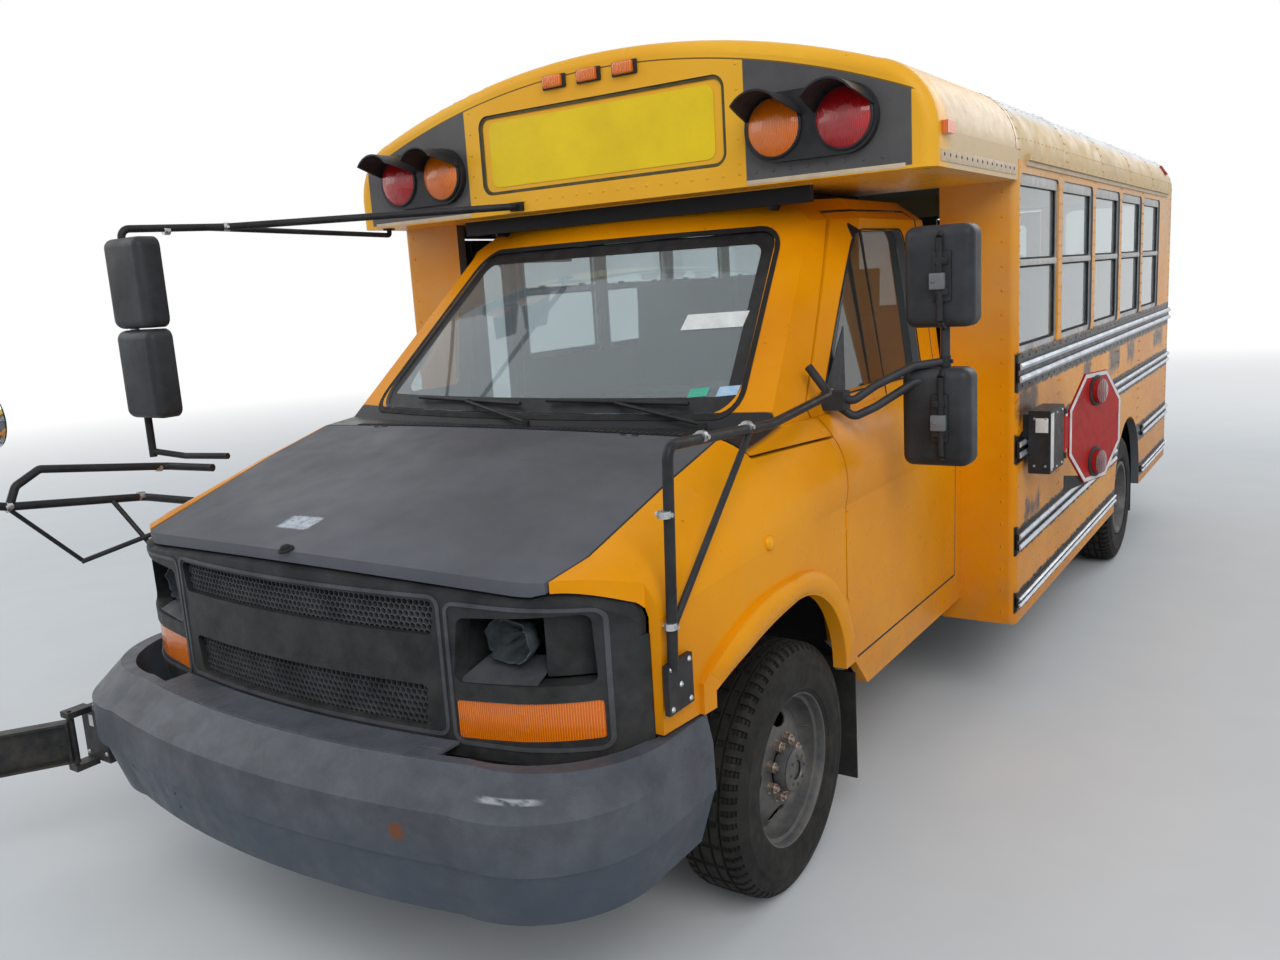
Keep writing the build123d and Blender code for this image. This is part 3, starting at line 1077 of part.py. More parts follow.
def make_lamps():
    hoods, amber, red = [], [], []
    for face_y, outward in ((CAP_FACE_Y, -1), (BODY_REAR_Y, 1)):
        plinth, a, r = lamp_pair(face_y, outward)
        hoods += both_sides(plinth)
        amber += both_sides(a)
        red += both_sides(r)
    for x in (-152, 0, 152):
        z0, z1 = ROOF_TOP_Z - 96, ROOF_TOP_Z - 60
        amber.append(box(x - 38, x + 38, CAP_FACE_Y - 22, CAP_FACE_Y - SEAT_GAP, z0, z1))
        red.append(box(x - 38, x + 38, BODY_REAR_Y + SEAT_GAP, BODY_REAR_Y + 22, z0, z1))
    z = CAP_BOTTOM_Z + 114
    side_lamp = box(BODY_HALF + SEAT_GAP, BODY_HALF + 20, CAP_FACE_Y + 60, CAP_FACE_Y + 130, z - 18, z + 18)
    amber += both_sides(side_lamp)
    tail_lamp = rod_y(BODY_REAR_Y + SEAT_GAP, BODY_REAR_Y + 24, BODY_HALF - 209, 1190, 88)
    red += both_sides(tail_lamp)
    reflector = box(BODY_HALF - 69, BODY_HALF - 19, BODY_REAR_Y + SEAT_GAP, BODY_REAR_Y + 10, 850, 900)
    red += both_sides(reflector)
    node("lamp_hoods", hoods)
    NODES["amber_lamps"] += [s for shape in amber for s in shape.solids()]
    node("red_lamps", red)


# Insides seen through the glass
def make_insides():
    seats = []
    for side in (-1, 1):
        for i in range(SEAT_ROWS - 1 if side < 0 else SEAT_ROWS):
            y = LEFT_FRONT_Y + 620 + i * SEAT_PITCH
            x0, x1 = sorted((side * (SEAT_X - 100), side * (BODY_HALF - WALL_T - 14)))
            z0 = FLOOR_TOP_Z + 330
            cushion = box(x0, x1, y, y + 400, z0, z0 + 120)
            cushion = fillet(cushion.edges().filter_by(Axis.X), 35)
            back = [(y + 380, z0 + 20), (y + 440, z0 + 20), (y + 500, z0 + 700), (y + 410, z0 + 700)]
            back = along_x(back, x0, x1)
            back = fillet(back.edges().filter_by(Axis.X), 25)
            legs = box(x0 + 40, x0 + 70, y + 60, y + 420, ARCH_TOP_Z + 22, z0 + 10) + box(
                x1 - 70, x1 - 40, y + 60, y + 420, ARCH_TOP_Z + 22, z0 + 10)
            inner = x0 + 40 if side > 0 else x1 - 70
            legs += box(inner, inner + 30, y + 60, y + 420, FLOOR_TOP_Z, z0 + 10)
            seats.append(cushion + back + legs)
    node("bench_seats", seats)

    # dashboard, wheel and column, driver's seat and engine cover
    y_dash = FRONT_AXLE_Y + 120
    dash = along_x([(y_dash, 1080), (y_dash + 300, 1060), (y_dash + 330, 1180), (y_dash + 280, 1270),
                    (y_dash, 1290)], -850, 850)
    dash = dash & (cab_lower(DOOR_T + 6) - box(-2000, 2000, -9000, y_dash, 0, 3000))
    steer_x = 470.0
    column = Pos(steer_x, y_dash + 343, 1169) * (Rot(-62, 0, 0) * Cylinder(22, 400))
    rim = Pos(steer_x, y_dash + 520, 1263) * (Rot(-62, 0, 0) * Torus(195, 15))
    spokes = Pos(steer_x, y_dash + 520, 1263) * (Rot(-62, 0, 0) * (Box(390, 46, 16) + Cylinder(62, 30)))
    dash = dash + column + rim + spokes
    cover = box(-320, 320, COWL_Y + 62, FRONT_AXLE_Y + 700, CAB_FLOOR_Z, 1072)
    cover -= box(-300, 300, COWL_Y + 30, FRONT_AXLE_Y + 680, 0, 1052)
    cover = cover & box(-2000, 2000, COWL_Y + 62, 9000, 0, 3000)
    seat_x0, seat_x1 = 380.0, 850.0
    y = FRONT_AXLE_Y + 800
    seat = box(seat_x0, seat_x1, y, y + 460, CAB_FLOOR_Z + 290, CAB_FLOOR_Z + 420)
    seat = fillet(seat.edges(), 30)
    back = [(y + 430, 950), (y + 560, 950), (y + 680, 1620), (y + 590, 1620)]
    back = fillet(along_x(back, seat_x0 + 20, seat_x1 - 20).edges(), 28)
    stand = box(seat_x0 + 90, seat_x1 - 90, y + 80, y + 420, CAB_FLOOR_Z, CAB_FLOOR_Z + 300)
    node("cab_interior", dash, cover, seat + back + stand)


# Mirrors and their tubes
def mirror_head(x, y, z, depth=80.0):
    """A moulded mirror shell, crowned towards the front."""
    face = fillet(Rectangle(HEAD_W, HEAD_H).vertices(), 32)
    small = fillet(Rectangle(HEAD_W * 0.55, HEAD_H * 0.62).vertices(), 20)
    plane = Plane(origin=(x, y, z), x_dir=(1, 0, 0), z_dir=(0, -1, 0))
    mid = plane.offset(depth * 0.45)
    shell = extrude(plane * face, depth * 0.45, dir=(0, -1, 0))
    dome = loft([mid * face, plane.offset(depth) * small], ruled=True)
    return shell + dome


def make_mirrors():
    fa = FRONT_AXLE_Y
    # driver's side fender frame: top tube, upright to the foot plate, brace
    top = tube([(902, fa + 337, 1511), (975, fa + 318, 1430), (1000, fa - 120, 1405), (1004, fa - 640, 1432),
                (1000, fa - 662, 915)], TUBE_R, 30)
    brace = tube([(1000, fa - 655, 1010), (1002, fa - 250, 1400)], 9, 1)
    plate = box(986, 1000, fa - 684, fa - 576, 808, 930)
    foot = box(955, 987, fa - 668, fa - 590, 822, 916)
    left = top + brace + plate + foot
    left -= cab_lower(-0.3)
    # the other side's frame carries two tubes, the convex cross-view mirror and braces
    egg_y, egg_z = fa - 1080, 1500
    aim = math.atan2(80, 160)
    reach = EGG_R + SEAT_GAP
    egg_foot = (-1150, egg_y - reach * math.cos(aim), egg_z - reach * math.sin(aim))
    t1 = tube([(-935, fa - 470, 1262), (-1120, fa - 520, 1268), (-1150, fa - 930, 1330),
               (-1150, fa - 1010, 1290), (-1150, fa - 1040, 1225)], TUBE_R, 25)
    t2 = tube([(-935, fa - 560, 1165), (-1120, fa - 620, 1180), (-1150, fa - 1040, 1232),
               (-1150, fa - 1200, 1275), (-1150, fa - 1240, 1420), egg_foot], TUBE_R, 30)
    b1 = tube([(-1128, fa - 730, 1196), (-960, fa - 660, 960)], 8, 1)
    b2 = tube([(-1140, fa - 850, 1010), (-960, fa - 650, 1090)], 8, 1)
    b3 = tube([(-1140, fa - 850, 1016), (-1150, fa - 1040, 1225)], 7, 1)
    egg = Pos(-1150, egg_y, egg_z) * (Sphere(EGG_R) - Pos(0, 238, 0) * Box(400, 400, 400))
    right = t1 + t2 + b1 + b2 + b3
    right -= cab_lower(-0.3)
    node("fender_frames", left.solids().sort_by(SortBy.VOLUME)[-1], right.solids().sort_by(SortBy.VOLUME)[-1])

    # far side rear-view mirrors, hung well forward of the cap
    post_x, post_y = FAR_POST
    root_z = CAP_BOTTOM_Z + 21
    low_z = root_z - 807
    arm_top = tube([(-366, CAP_FACE_Y - 8, root_z), (-366, CAP_FACE_Y - 40, root_z), (-1180, fa - 120, root_z - 15),
                    (post_x, post_y, root_z - 20), (post_x, post_y, low_z)], TUBE_R, 30)
    arm_two = tube([(-1126, CAP_FACE_Y + 62, CAP_BOTTOM_Z - 2), (-1126, CAP_FACE_Y + 62, CAP_BOTTOM_Z - 26),
                    (-1200, fa - 225, CAP_BOTTOM_Z + 4)], 10, 10)
    arm_two += rod_z(CAP_BOTTOM_Z - 6, CAP_BOTTOM_Z - SEAT_GAP, -1126, CAP_FACE_Y + 62, 24)
    low = tube([(post_x, post_y, low_z + 20), (-1130, fa - 440, low_z), (-945, fa - 400, low_z)], STAY_R, 20)
    low -= cab_lower(-0.3)
    lug = box(-396, -336, CAP_FACE_Y - 12, CAP_FACE_Y - SEAT_GAP, root_z - 15, root_z + 17)
    arms = arm_top + arm_two + low + lug
    heads = []
    for z in (root_z - 205, root_z - 512):
        heads.append(mirror_head(FAR_HEAD_X, fa - 462, z) - rod_z(0, ROOF_TOP_Z, post_x, post_y, TUBE_R + 0.1))
    node("far_mirror_arms", arms)
    node("far_mirror_heads", heads, egg)

    # driver's door mirrors: block, two bent arms, upright tube, two heads
    block = box(918, 990, fa + 385, fa + 440, 1372, 1430)
    post_x, post_y = DOOR_POST
    top_z = CAB_ROOF_Z - 148
    low_z = top_z - 710
    a1 = tube([(960, fa + 412, 1410), (1010, fa + 420, 1400), (1060, fa + 470, 1440), (1150, fa + 560, top_z - 410),
               (post_x, post_y, top_z - 400)], TUBE_R, 25)
    a2 = tube([(960, fa + 412, 1385), (1010, fa + 420, 1350), (1060, fa + 470, 1375), (1150, fa + 560, top_z - 460),
               (post_x, post_y, top_z - 450)], TUBE_R, 25)
    post = rod_z(low_z, top_z, post_x, post_y, DOOR_POST_R)
    door_skin = (cab_lower(-0.3) + greenhouse(-0.3))
    arms = (block + a1 + a2 + post) - door_skin
    heads = []
    for z, x in ((top_z - 145, post_x - 10), (top_z - 570, post_x - 22)):
        heads.append(mirror_head(x, fa + 640, z) - rod_z(0, ROOF_TOP_Z, post_x, post_y, DOOR_POST_R + 0.1))
    node("door_mirrors", arms.solids().sort_by(SortBy.VOLUME)[-1], heads)


# Stop arm on the driver's side, swung a little out
def make_stop_arm():
    hx, hy = STOP_HINGE
    case = box(BODY_HALF + RAIL_PROUD + 3, hx + 10, hy - 260, hy - 30, STOP_Z - 115, STOP_Z + 130)
    case += box(BODY_HALF + SEAT_GAP, BODY_HALF + RAIL_PROUD + 4, hy - 250, hy - 60, 1108, 1200)
    lugs = []
    for z in (STOP_Z - 95, STOP_Z + 85):
        lug = box(hx - 25, hx + 8, hy - 40, hy + 8, z, z + 22) + rod_z(z, z + 22, hx, hy, 16)
        lugs.append(lug)
    case = case + lugs
    case -= rod_z(STOP_Z - 200, STOP_Z + 200, hx, hy, 6 + RUNNING_GAP)
    case -= box(hx - 16, hx + 20, hy - 29, hy + 40, STOP_Z - 72, STOP_Z + 84)
    octagon = RegularPolygon(STOP_ACROSS / 2, 8, major_radius=False, rotation=22.5)
    blade_plane = Plane(origin=(hx, hy + STOP_ACROSS / 2 + 40, STOP_Z), x_dir=(0, 1, 0), z_dir=(1, 0, 0))
    blade = extrude(blade_plane * octagon, 8, dir=(1, 0, 0))
    guard = along_x([(hy + 24, STOP_Z + 110), (hy + 24, STOP_Z + 190), (hy + 175, STOP_Z + 226),
                     (hy + 60, STOP_Z + 90)], hx - 3, hx)
    hinge = rod_z(STOP_Z - 110, STOP_Z + 120, hx, hy, 6) + rod_z(STOP_Z - 68, STOP_Z + 80, hx, hy, 12)
    arm = box(hx - 3, hx + 6, hy + 4, hy + 60, STOP_Z - 60, STOP_Z + 70)
    blade = blade + arm + hinge
    lamps = []
    for z in (STOP_Z - 150, STOP_Z + 150):
        lamps.append(rod_x(hx - 26, hx + 34, hy + 40 + STOP_ACROSS / 2, z, 50))
    blade = blade + lamps
    turn = Pos(hx, hy, 0) * (Rot(0, 0, -STOP_REST_ANGLE) * Pos(-hx, -hy, 0))
    blade = turn * blade
    node("stop_blade", blade)
    cross = make_crossing_arm()
    node("arm_boxes", case, cross[0])
    node("crossing_arm", cross[1])


def make_crossing_arm():
    hx, hy = CROSS_HINGE
    z0, z1 = 345.0, 520.0
    case = box(hx - 45, hx + 90, hy + 60, hy + 190, z0, z1)
    plate = box(hx + 88, hx + 220, hy + 150, hy + 190, z0 + 60, z1 + 10)
    case += plate - bumper_block(SEAT_GAP)
    for z in (z0 - 14, z1 - 6):
        case += box(hx - 30, hx + 20, hy - 14, hy + 64, z, z + 20)
    case -= rod_z(z0 - 50, z1 + 50, hx, hy, 6 + RUNNING_GAP)
    arm = box(hx - 22, hx + 22, hy - CROSS_LEN, hy - 8, z0 + 18, z1 - 18)
    arm -= box(hx - 12, hx + 30, hy - CROSS_LEN + 8, hy - 16, z0 + 26, z1 - 26)
    arm += rod_z(z0 + 12, z1 - 12, hx, hy, 11) + rod_z(z0 - 20, z1 + 18, hx, hy, 6)
    arm += box(hx - 9, hx + 9, hy - 20, hy, z0 + 20, z1 - 20)
    turn = Pos(hx, hy, 0) * (Rot(0, 0, -35) * Pos(-hx, -hy, 0))
    return case, turn * arm


# Entrance door: two leaves that swing out
def make_doors():
    y0 = ENTRY_Y0 + LEAF_GAP
    y1 = ENTRY_Y1 - LEAF_GAP
    mid = (y0 + y1) / 2
    z0, z1 = SKIRT_Z + 40, ENTRY_TOP_Z - LEAF_GAP
    x_out = -(BODY_HALF - 2)
    for name, a, b in (("front", y0, mid - LEAF_MEET_GAP / 2), ("rear", mid + LEAF_MEET_GAP / 2, y1)):
        leaf = box(x_out, x_out + LEAF_T, a, b, z0, z1)
        panes = []
        for w0, w1 in ((z0 + 150, 1120), (1180, z1 - 110)):
            hole = mirror(window_cutter(a + 60, b - 60, w0, w1, BODY_HALF - 60, BODY_HALF + 10), Plane.YZ)
            leaf -= hole
            pane = mirror(window_cutter(a + 60, b - 60, w0, w1, BODY_HALF - 2 - LEAF_T / 2 - 3,
                                        BODY_HALF - 2 - LEAF_T / 2 + 3), Plane.YZ)
            panes.append(pane)
        for fixed, moving, pocket in entry_hinges()[0 if name == "front" else 1]:
            leaf = leaf - pocket + moving
        node("entry_leaf_" + name, leaf)
        node("entry_glass_" + name, panes)

    half = REAR_DOOR_HALF - LEAF_GAP
    ya = BODY_REAR_Y - WALL_T + 4
    yb = BODY_REAR_Y + 2
    z0, z1 = FLOOR_TOP_Z + LEAF_GAP, REAR_DOOR_TOP_Z - LEAF_GAP
    door = box(-half, half, ya, yb, z0, z1)
    panes = []
    for w0, w1 in ((880, 1280), (1400, z1 - 82)):
        plane = Plane(origin=(0, ya - 10, (w0 + w1) / 2), x_dir=(1, 0, 0), z_dir=(0, -1, 0))
        face = fillet(Rectangle(2 * half - 190, w1 - w0).vertices(), 45)
        door -= extrude(plane * face, 100, dir=(0, 1, 0))
        pane_plane = Plane(origin=(0, ya + 18, (w0 + w1) / 2), x_dir=(1, 0, 0), z_dir=(0, -1, 0))
        panes.append(extrude(pane_plane * face, GLASS_T, dir=(0, 1, 0)))
    handle = rod_x(-60, 60, yb + 40, 1340, 9)
    for x in (-55, 55):
        handle += box(x - 7, x + 7, yb - 1, yb + 40, 1332, 1348)
    door = door + handle
    for fixed, moving, pocket in rear_door_hinges():
        door = door - pocket + moving
    node("rear_door", door)
    node("rear_door_glass", panes)


def make_flaps():
    front = [(780, 150), (985, 150), (985, 515), (915, 515), (905, 560), (780, 560)]
    flaps = both_sides(along_y(front, FLAP_Y, FLAP_Y + FLAP_T))
    rear_y = REAR_AXLE_Y + ARCH_HALF + 20 + SEAT_GAP
    rear = box(690, BODY_HALF - WALL_T - 5, rear_y, rear_y + FLAP_T, 190, FLOOR_TOP_Z - FLOOR_T - SEAT_GAP)
    flaps += both_sides(rear)
    node("mud_flaps", flaps)


def glass_y(x, z):
    """Where the windshield's outer face lies, ahead of the cab."""
    low, high = GREENHOUSE[0], GREENHOUSE[1]
    rise = (z - low[0]) / (high[0] - low[0])
    bow = (low[3] - low[1]) * (x / low[2]) ** 2
    return FRONT_AXLE_Y + low[1] + rise * (high[1] - low[1]) + bow


def cowl_z(x, y):
    """Height of the panel between hood and windshield."""
    front, rear = CAB_STATIONS[3], CAB_STATIONS[4]
    along = (y - FRONT_AXLE_Y - front[0]) / (rear[0] - front[0])
    half, shoulder, crown = (front[i] + along * (rear[i] - front[i]) for i in (4, 5, 6))
    return crown - (crown - shoulder) * (x / half) ** 2


def make_cowl():
    """Two wipers that lie on the foot of the glass."""
    wipers = []
    for x in (-180.0, 430.0):
        pivot_x = x + 260
        pivot_y = glass_y(pivot_x, BELT_Z + 20) - 45
        pivot = (pivot_x, pivot_y, cowl_z(pivot_x - 14, pivot_y + 14) + SEAT_GAP)
        tip = (x - 60, glass_y(x - 60, 1430) - 26, 1430)
        ends = [(bx, glass_y(bx, bz) - 14, bz) for bx, bz in ((x - 330, 1436), (x + 180, 1425))]
        arm = tube([(pivot[0], pivot[1], pivot[2] + 14), tip], 6, 1)
        arm += tube([tip, (tip[0], tip[1] + 16, tip[2])], 6, 1)
        wipers.append(tube(ends, 7, 1) + arm + rod_z(pivot[2], pivot[2] + 20, pivot[0], pivot[1], 14))
    node("wipers", wipers)


def make_all():
    make_body()
    make_windows()
    make_rails()
    make_cab()
    make_front()
    make_chassis()
    make_wheels()
    make_lamps()
    make_insides()
    make_mirrors()
    make_stop_arm()
    make_doors()
    make_flaps()
    make_cowl()


make_all()
os.makedirs("parts", exist_ok=True)
for name, solids in NODES.items():
    export_step(Compound(children=solids) if len(solids) > 1 else solids[0], "parts/" + name + ".step")
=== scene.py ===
import cmath
from math import atan2, copysign, cos, degrees, hypot, pi, radians, sin, sqrt, tau

import bmesh
import bpy
from mathutils import Matrix, Vector


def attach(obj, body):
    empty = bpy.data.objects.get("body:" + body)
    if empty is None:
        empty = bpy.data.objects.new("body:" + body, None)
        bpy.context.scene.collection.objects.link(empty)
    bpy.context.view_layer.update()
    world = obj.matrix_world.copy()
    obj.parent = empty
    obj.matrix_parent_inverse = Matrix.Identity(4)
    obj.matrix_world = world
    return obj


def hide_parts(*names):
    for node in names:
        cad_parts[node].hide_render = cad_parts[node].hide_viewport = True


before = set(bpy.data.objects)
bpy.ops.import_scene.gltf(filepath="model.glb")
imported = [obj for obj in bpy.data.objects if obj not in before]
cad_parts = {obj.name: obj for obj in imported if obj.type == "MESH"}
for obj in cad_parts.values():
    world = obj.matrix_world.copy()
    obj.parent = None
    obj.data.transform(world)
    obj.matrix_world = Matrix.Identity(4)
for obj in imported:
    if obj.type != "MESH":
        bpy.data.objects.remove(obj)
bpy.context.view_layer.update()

# Places on the bus, in metres
FRONT_AXLE_Y = -2.2
REAR_AXLE_Y = 1.839
HUB_Z = 0.372
FRONT_WHEEL_X = 0.874
REAR_TYRES_X = (1.077, 0.785)
BODY_HALF = 1.219
LEFT_FRONT_Y = -0.698
RIGHT_FRONT_Y = -1.4
REAR_Y = 3.338
CAP_FACE_Y = -1.635
CAP_BOTTOM_Z = 2.076
ROOF_TOP_Z = 2.59
ROOF_ARC_R = 3.086
WINDOW_PITCH = 0.711
WINDSHIELD_SILL_Z = 1.335
WINDSHIELD_HEIGHT = 0.625
NOSE_Y = -3.14
NOSE_R = 3.304
BUMPER_Y = -3.35
BUMPER_R = 3.146
LAMP_Z = 2.243
STOP_HINGE = (1.314, -0.35)
STOP_Z = 1.085
SIDES = (-1, 1)

# The photograph's camera
FOCAL_PX = 1051.04
PHOTO_WIDTH_PX = 1280
SENSOR_MM = 36


def set_camera():
    """Camera at the angle of the photograph."""
    turn = radians(34.104)
    tilt = radians(10.603)
    roll = radians(-3.516)
    ahead = Vector((-sin(turn) * cos(tilt), cos(turn) * cos(tilt), -sin(tilt)))
    across = Vector((cos(turn), sin(turn), 0))
    above = across.cross(ahead)
    right = across * cos(roll) + above * sin(roll)
    up = above * cos(roll) - across * sin(roll)
    optics = bpy.data.cameras.new("camera")
    optics.sensor_width = SENSOR_MM
    optics.lens = FOCAL_PX / PHOTO_WIDTH_PX * SENSOR_MM
    optics.clip_end = 100
    camera = bpy.data.objects.new("camera", optics)
    bpy.context.scene.collection.objects.link(camera)
    pose = Matrix((right, up, -ahead)).transposed().to_4x4()
    pose.translation = (2.2428, -4.7851, 1.7903)
    camera.matrix_world = pose
    bpy.context.scene.camera = camera


class Finish:
    """One procedural material, put together node by node."""

    def __init__(self, name):
        self.material = bpy.data.materials.new(name)
        self.material.use_nodes = True
        self.nodes = self.material.node_tree.nodes
        self.links = self.material.node_tree.links
        self.shader = self.nodes["Principled BSDF"]
        coordinates = self.nodes.new("ShaderNodeTexCoord")
        self.place = coordinates.outputs["Object"]
        self.facing = coordinates.outputs["Normal"]

    def feed(self, node, key, value):
        if isinstance(value, bpy.types.NodeSocket):
            self.links.new(value, node.inputs[key])
        else:
            node.inputs[key].default_value = value

    def noise(self, scale, detail=3.0, rough=0.55, stretch=(1, 1, 1)):
        mapping = self.nodes.new("ShaderNodeMapping")
        self.feed(mapping, "Vector", self.place)
        self.feed(mapping, "Scale", stretch)
        node = self.nodes.new("ShaderNodeTexNoise")
        self.feed(node, "Vector", mapping.outputs["Vector"])
        self.feed(node, "Scale", scale)
        self.feed(node, "Detail", detail)
        self.feed(node, "Roughness", rough)
        return node.outputs["Fac"]

    def span(self, value, low, high, first=0.0, last=1.0):
        """Turns the range low to high of a value into first to last."""
        node = self.nodes.new("ShaderNodeMapRange")
        self.feed(node, "Value", value)
        for key, number in (("From Min", low), ("From Max", high), ("To Min", first), ("To Max", last)):
            self.feed(node, key, number)
        return node.outputs["Result"]

    def vary(self, first, last, *noise):
        """Noise that runs from first to last."""
        return self.span(self.noise(*noise), 0.3, 0.7, first, last)

    def sum(self, kind, first, second=0.0):
        node = self.nodes.new("ShaderNodeMath")
        node.operation = kind
        self.feed(node, 0, first)
        self.feed(node, 1, second)
        return node.outputs[0]

    def off(self, value, middle):
        """How far a value is from its middle."""
        return self.sum("ABSOLUTE", self.sum("SUBTRACT", value, middle))

    def both(self, *masks):
        """Where every mask is on."""
        found = masks[0]
        for mask in masks[1:]:
            found = self.sum("MULTIPLY", found, mask)
        return found

    def axis(self, index):
        node = self.nodes.new("ShaderNodeSeparateXYZ")
        self.links.new(self.place, node.inputs[0])
        return node.outputs[index]

    def vector(self, kind, first, second=(0, 0, 0)):
        node = self.nodes.new("ShaderNodeVectorMath")
        node.operation = kind
        self.feed(node, 0, first)
        self.feed(node, 1, second)
        return node.outputs["Vector" if kind == "SUBTRACT" else "Value"]

    def mix(self, share, first, second):
        node = self.nodes.new("ShaderNodeMix")
        node.data_type = "RGBA"
        self.feed(node, 0, share)
        for index, colour in ((6, first), (7, second)):
            if isinstance(colour, tuple):
                colour = (*colour, 1.0)
            self.feed(node, index, colour)
        return node.outputs[2]

    def dress(self, colour, rough, height=None, depth=0.0, **constants):
        """Links the made colour, roughness and relief, and sets what is the same all over."""
        self.feed(self.shader, "Base Color", colour)
        self.feed(self.shader, "Roughness", rough)
        if height is not None:
            node = self.nodes.new("ShaderNodeBump")
            self.feed(node, "Height", height)
            self.feed(node, "Distance", depth)
            self.links.new(node.outputs["Normal"], self.shader.inputs["Normal"])
        if "Metallic" not in constants and "Coat_Weight" not in constants:
            constants.setdefault("Specular_IOR_Level", 0.18)
        for key, value in constants.items():
            self.feed(self.shader, key.replace("_", " "), value)
        return self.material


# Colours
YELLOW = (0.78, 0.300, 0.001)
YELLOW_DARK = (0.62, 0.200, 0.001)
YELLOW_PALE = (0.80, 0.44, 0.040)
PEACH = (0.56, 0.40, 0.22)
DUST = (0.20, 0.17, 0.13)
BLACK = (0.012, 0.012, 0.013)
CABIN_GREY = (0.11, 0.115, 0.12)


def bus_yellow(name, zones=None, cabin=(0, 0.5, 1.4), chalk=0.2, main=YELLOW, dark=YELLOW_DARK):
    """School bus paint: faded in patches, dusty low down, with the cabin's grey on its inner faces."""
    f = Finish(name)
    patches = f.span(f.noise(1.3, 4.0), 0.35, 0.7)
    colour = f.mix(patches, main, dark)
    colour = f.mix(f.span(f.noise(7.0, 6.0, 0.7), 0.5, 0.85, 0.0, chalk), colour, YELLOW_PALE)
    z = f.axis(2)
    low = f.both(f.span(z, 0.95, 0.35), f.span(f.noise(9.0, 6.0, 0.7), 0.35, 0.75))
    colour = f.mix(f.sum("MULTIPLY", low, 0.4), colour, DUST)
    specks = f.both(f.span(f.noise(55.0, 2.0), 0.73, 0.76), f.span(f.noise(2.5), 0.45, 0.6))
    colour = f.mix(f.sum("MULTIPLY", specks, 0.6), colour, (0.12, 0.05, 0.02))
    rough = f.vary(0.24, 0.42, 22.0, 5.0, 0.7)
    if zones:
        colour = zones(f, colour)
    if cabin:
        outward = f.vector("DOT_PRODUCT", f.vector("SUBTRACT", f.place, cabin), f.facing)
        colour = f.mix(f.span(outward, -0.02, -0.04), colour, CABIN_GREY)
    return f.dress(colour, rough, f.noise(60.0, 3.0), 0.0003, Specular_IOR_Level=0.13)


def side_zones(f, colour):
    """Faded upper side, black bands behind the rails and black sprayed patches on the long sides."""
    x = f.sum("ABSOLUTE", f.axis(0))
    y = f.axis(1)
    z = f.axis(2)
    outside = f.span(x, BODY_HALF - 0.012, BODY_HALF - 0.008)
    above = f.both(f.span(z, 1.35, 2.0), f.span(f.noise(2.0, 5.0), 0.25, 0.7))
    colour = f.mix(f.sum("MULTIPLY", above, 0.7), colour, PEACH)
    for middle, half in ((1.368, 0.075), (1.073, 0.058), (0.707, 0.055), (0.462, 0.042)):
        off = f.off(z, middle)
        ragged = f.sum("ADD", off, f.vary(-0.008, 0.008, 30.0, 4.0))
        band = f.both(outside, f.span(ragged, half + 0.004, half - 0.004))
        colour = f.mix(band, colour, BLACK)
    patches = [(-0.52, 0.17, 1.235, 0.075), (0.62, 0.11, 1.235, 0.07), (1.35, 0.16, 1.235, 0.07),
               (1.85, 0.12, 1.235, 0.06), (-0.43, 0.13, 0.80, 0.045), (2.9, 0.2, 1.235, 0.06)]
    for py, half_y, pz, half_z in patches:
        strokes = f.vary(-0.04, 0.04, 13.0, 6.0, 0.75, (1, 1, 0.7))
        wide = f.off(y, py)
        tall = f.off(z, pz)
        patch = f.both(outside, f.span(f.sum("ADD", wide, strokes), half_y + 0.02, half_y - 0.04),
                       f.span(f.sum("ADD", tall, strokes), half_z + 0.02, half_z - 0.03))
        colour = f.mix(f.sum("MULTIPLY", patch, 0.9), colour, (0.035, 0.033, 0.038))
    return colour


def cap_zones(f, colour):
    """Faded flanks, painted shade as a black lower edge and underside, grey crown and the smoky lamp panels
    with their seam.
    """
    x = f.sum("ABSOLUTE", f.axis(0))
    y = f.axis(1)
    z = f.axis(2)
    flank = f.both(f.span(x, 1.08, 1.2), f.span(y, CAP_FACE_Y + 0.08, CAP_FACE_Y + 0.16))
    colour = f.mix(f.both(flank, f.span(f.noise(2.0, 4.0), 0.2, 0.5, 0.6, 0.95)), colour, PEACH)
    # painted shade: below its lower edge the cap is painted black, for the shade under the cap
    band = f.span(z, CAP_BOTTOM_Z - 0.002, CAP_BOTTOM_Z - 0.004)
    colour = f.mix(band, colour, (0.010, 0.010, 0.011))
    crown = f.both(f.span(z, 2.44, 2.56), f.span(y, CAP_FACE_Y + 0.1, CAP_FACE_Y + 0.25))
    colour = f.mix(f.sum("MULTIPLY", crown, 0.8), colour, (0.60, 0.60, 0.58))
    # radius from the roof arc's centre, so that the panel follows the roof line
    drop = f.sum("SUBTRACT", z, ROOF_TOP_Z - ROOF_ARC_R)
    radius = f.sum("SQRT", f.sum("ADD", f.sum("MULTIPLY", x, x), f.sum("MULTIPLY", drop, drop)))
    under_edge = f.span(radius, ROOF_ARC_R - 0.058, ROOF_ARC_R - 0.062)
    corner = f.sum("ADD", x, f.sum("MULTIPLY", z, 0.55))
    on_face = f.span(y, CAP_FACE_Y + 0.004, CAP_FACE_Y + 0.002)
    panel = f.both(on_face, under_edge, f.span(x, 0.598, 0.601), f.span(x, 1.152, 1.149),
                   f.span(corner, 2.425, 2.42), f.span(z, CAP_BOTTOM_Z + 0.008, CAP_BOTTOM_Z + 0.011))
    smoke = f.mix(f.noise(6.0, 5.0), (0.045, 0.045, 0.05), (0.13, 0.12, 0.115))
    colour = f.mix(panel, colour, smoke)
    seam = f.both(on_face, f.span(f.off(radius, ROOF_ARC_R - 0.06), 0.003, 0.0018))
    return f.mix(seam, colour, (0.16, 0.09, 0.02))


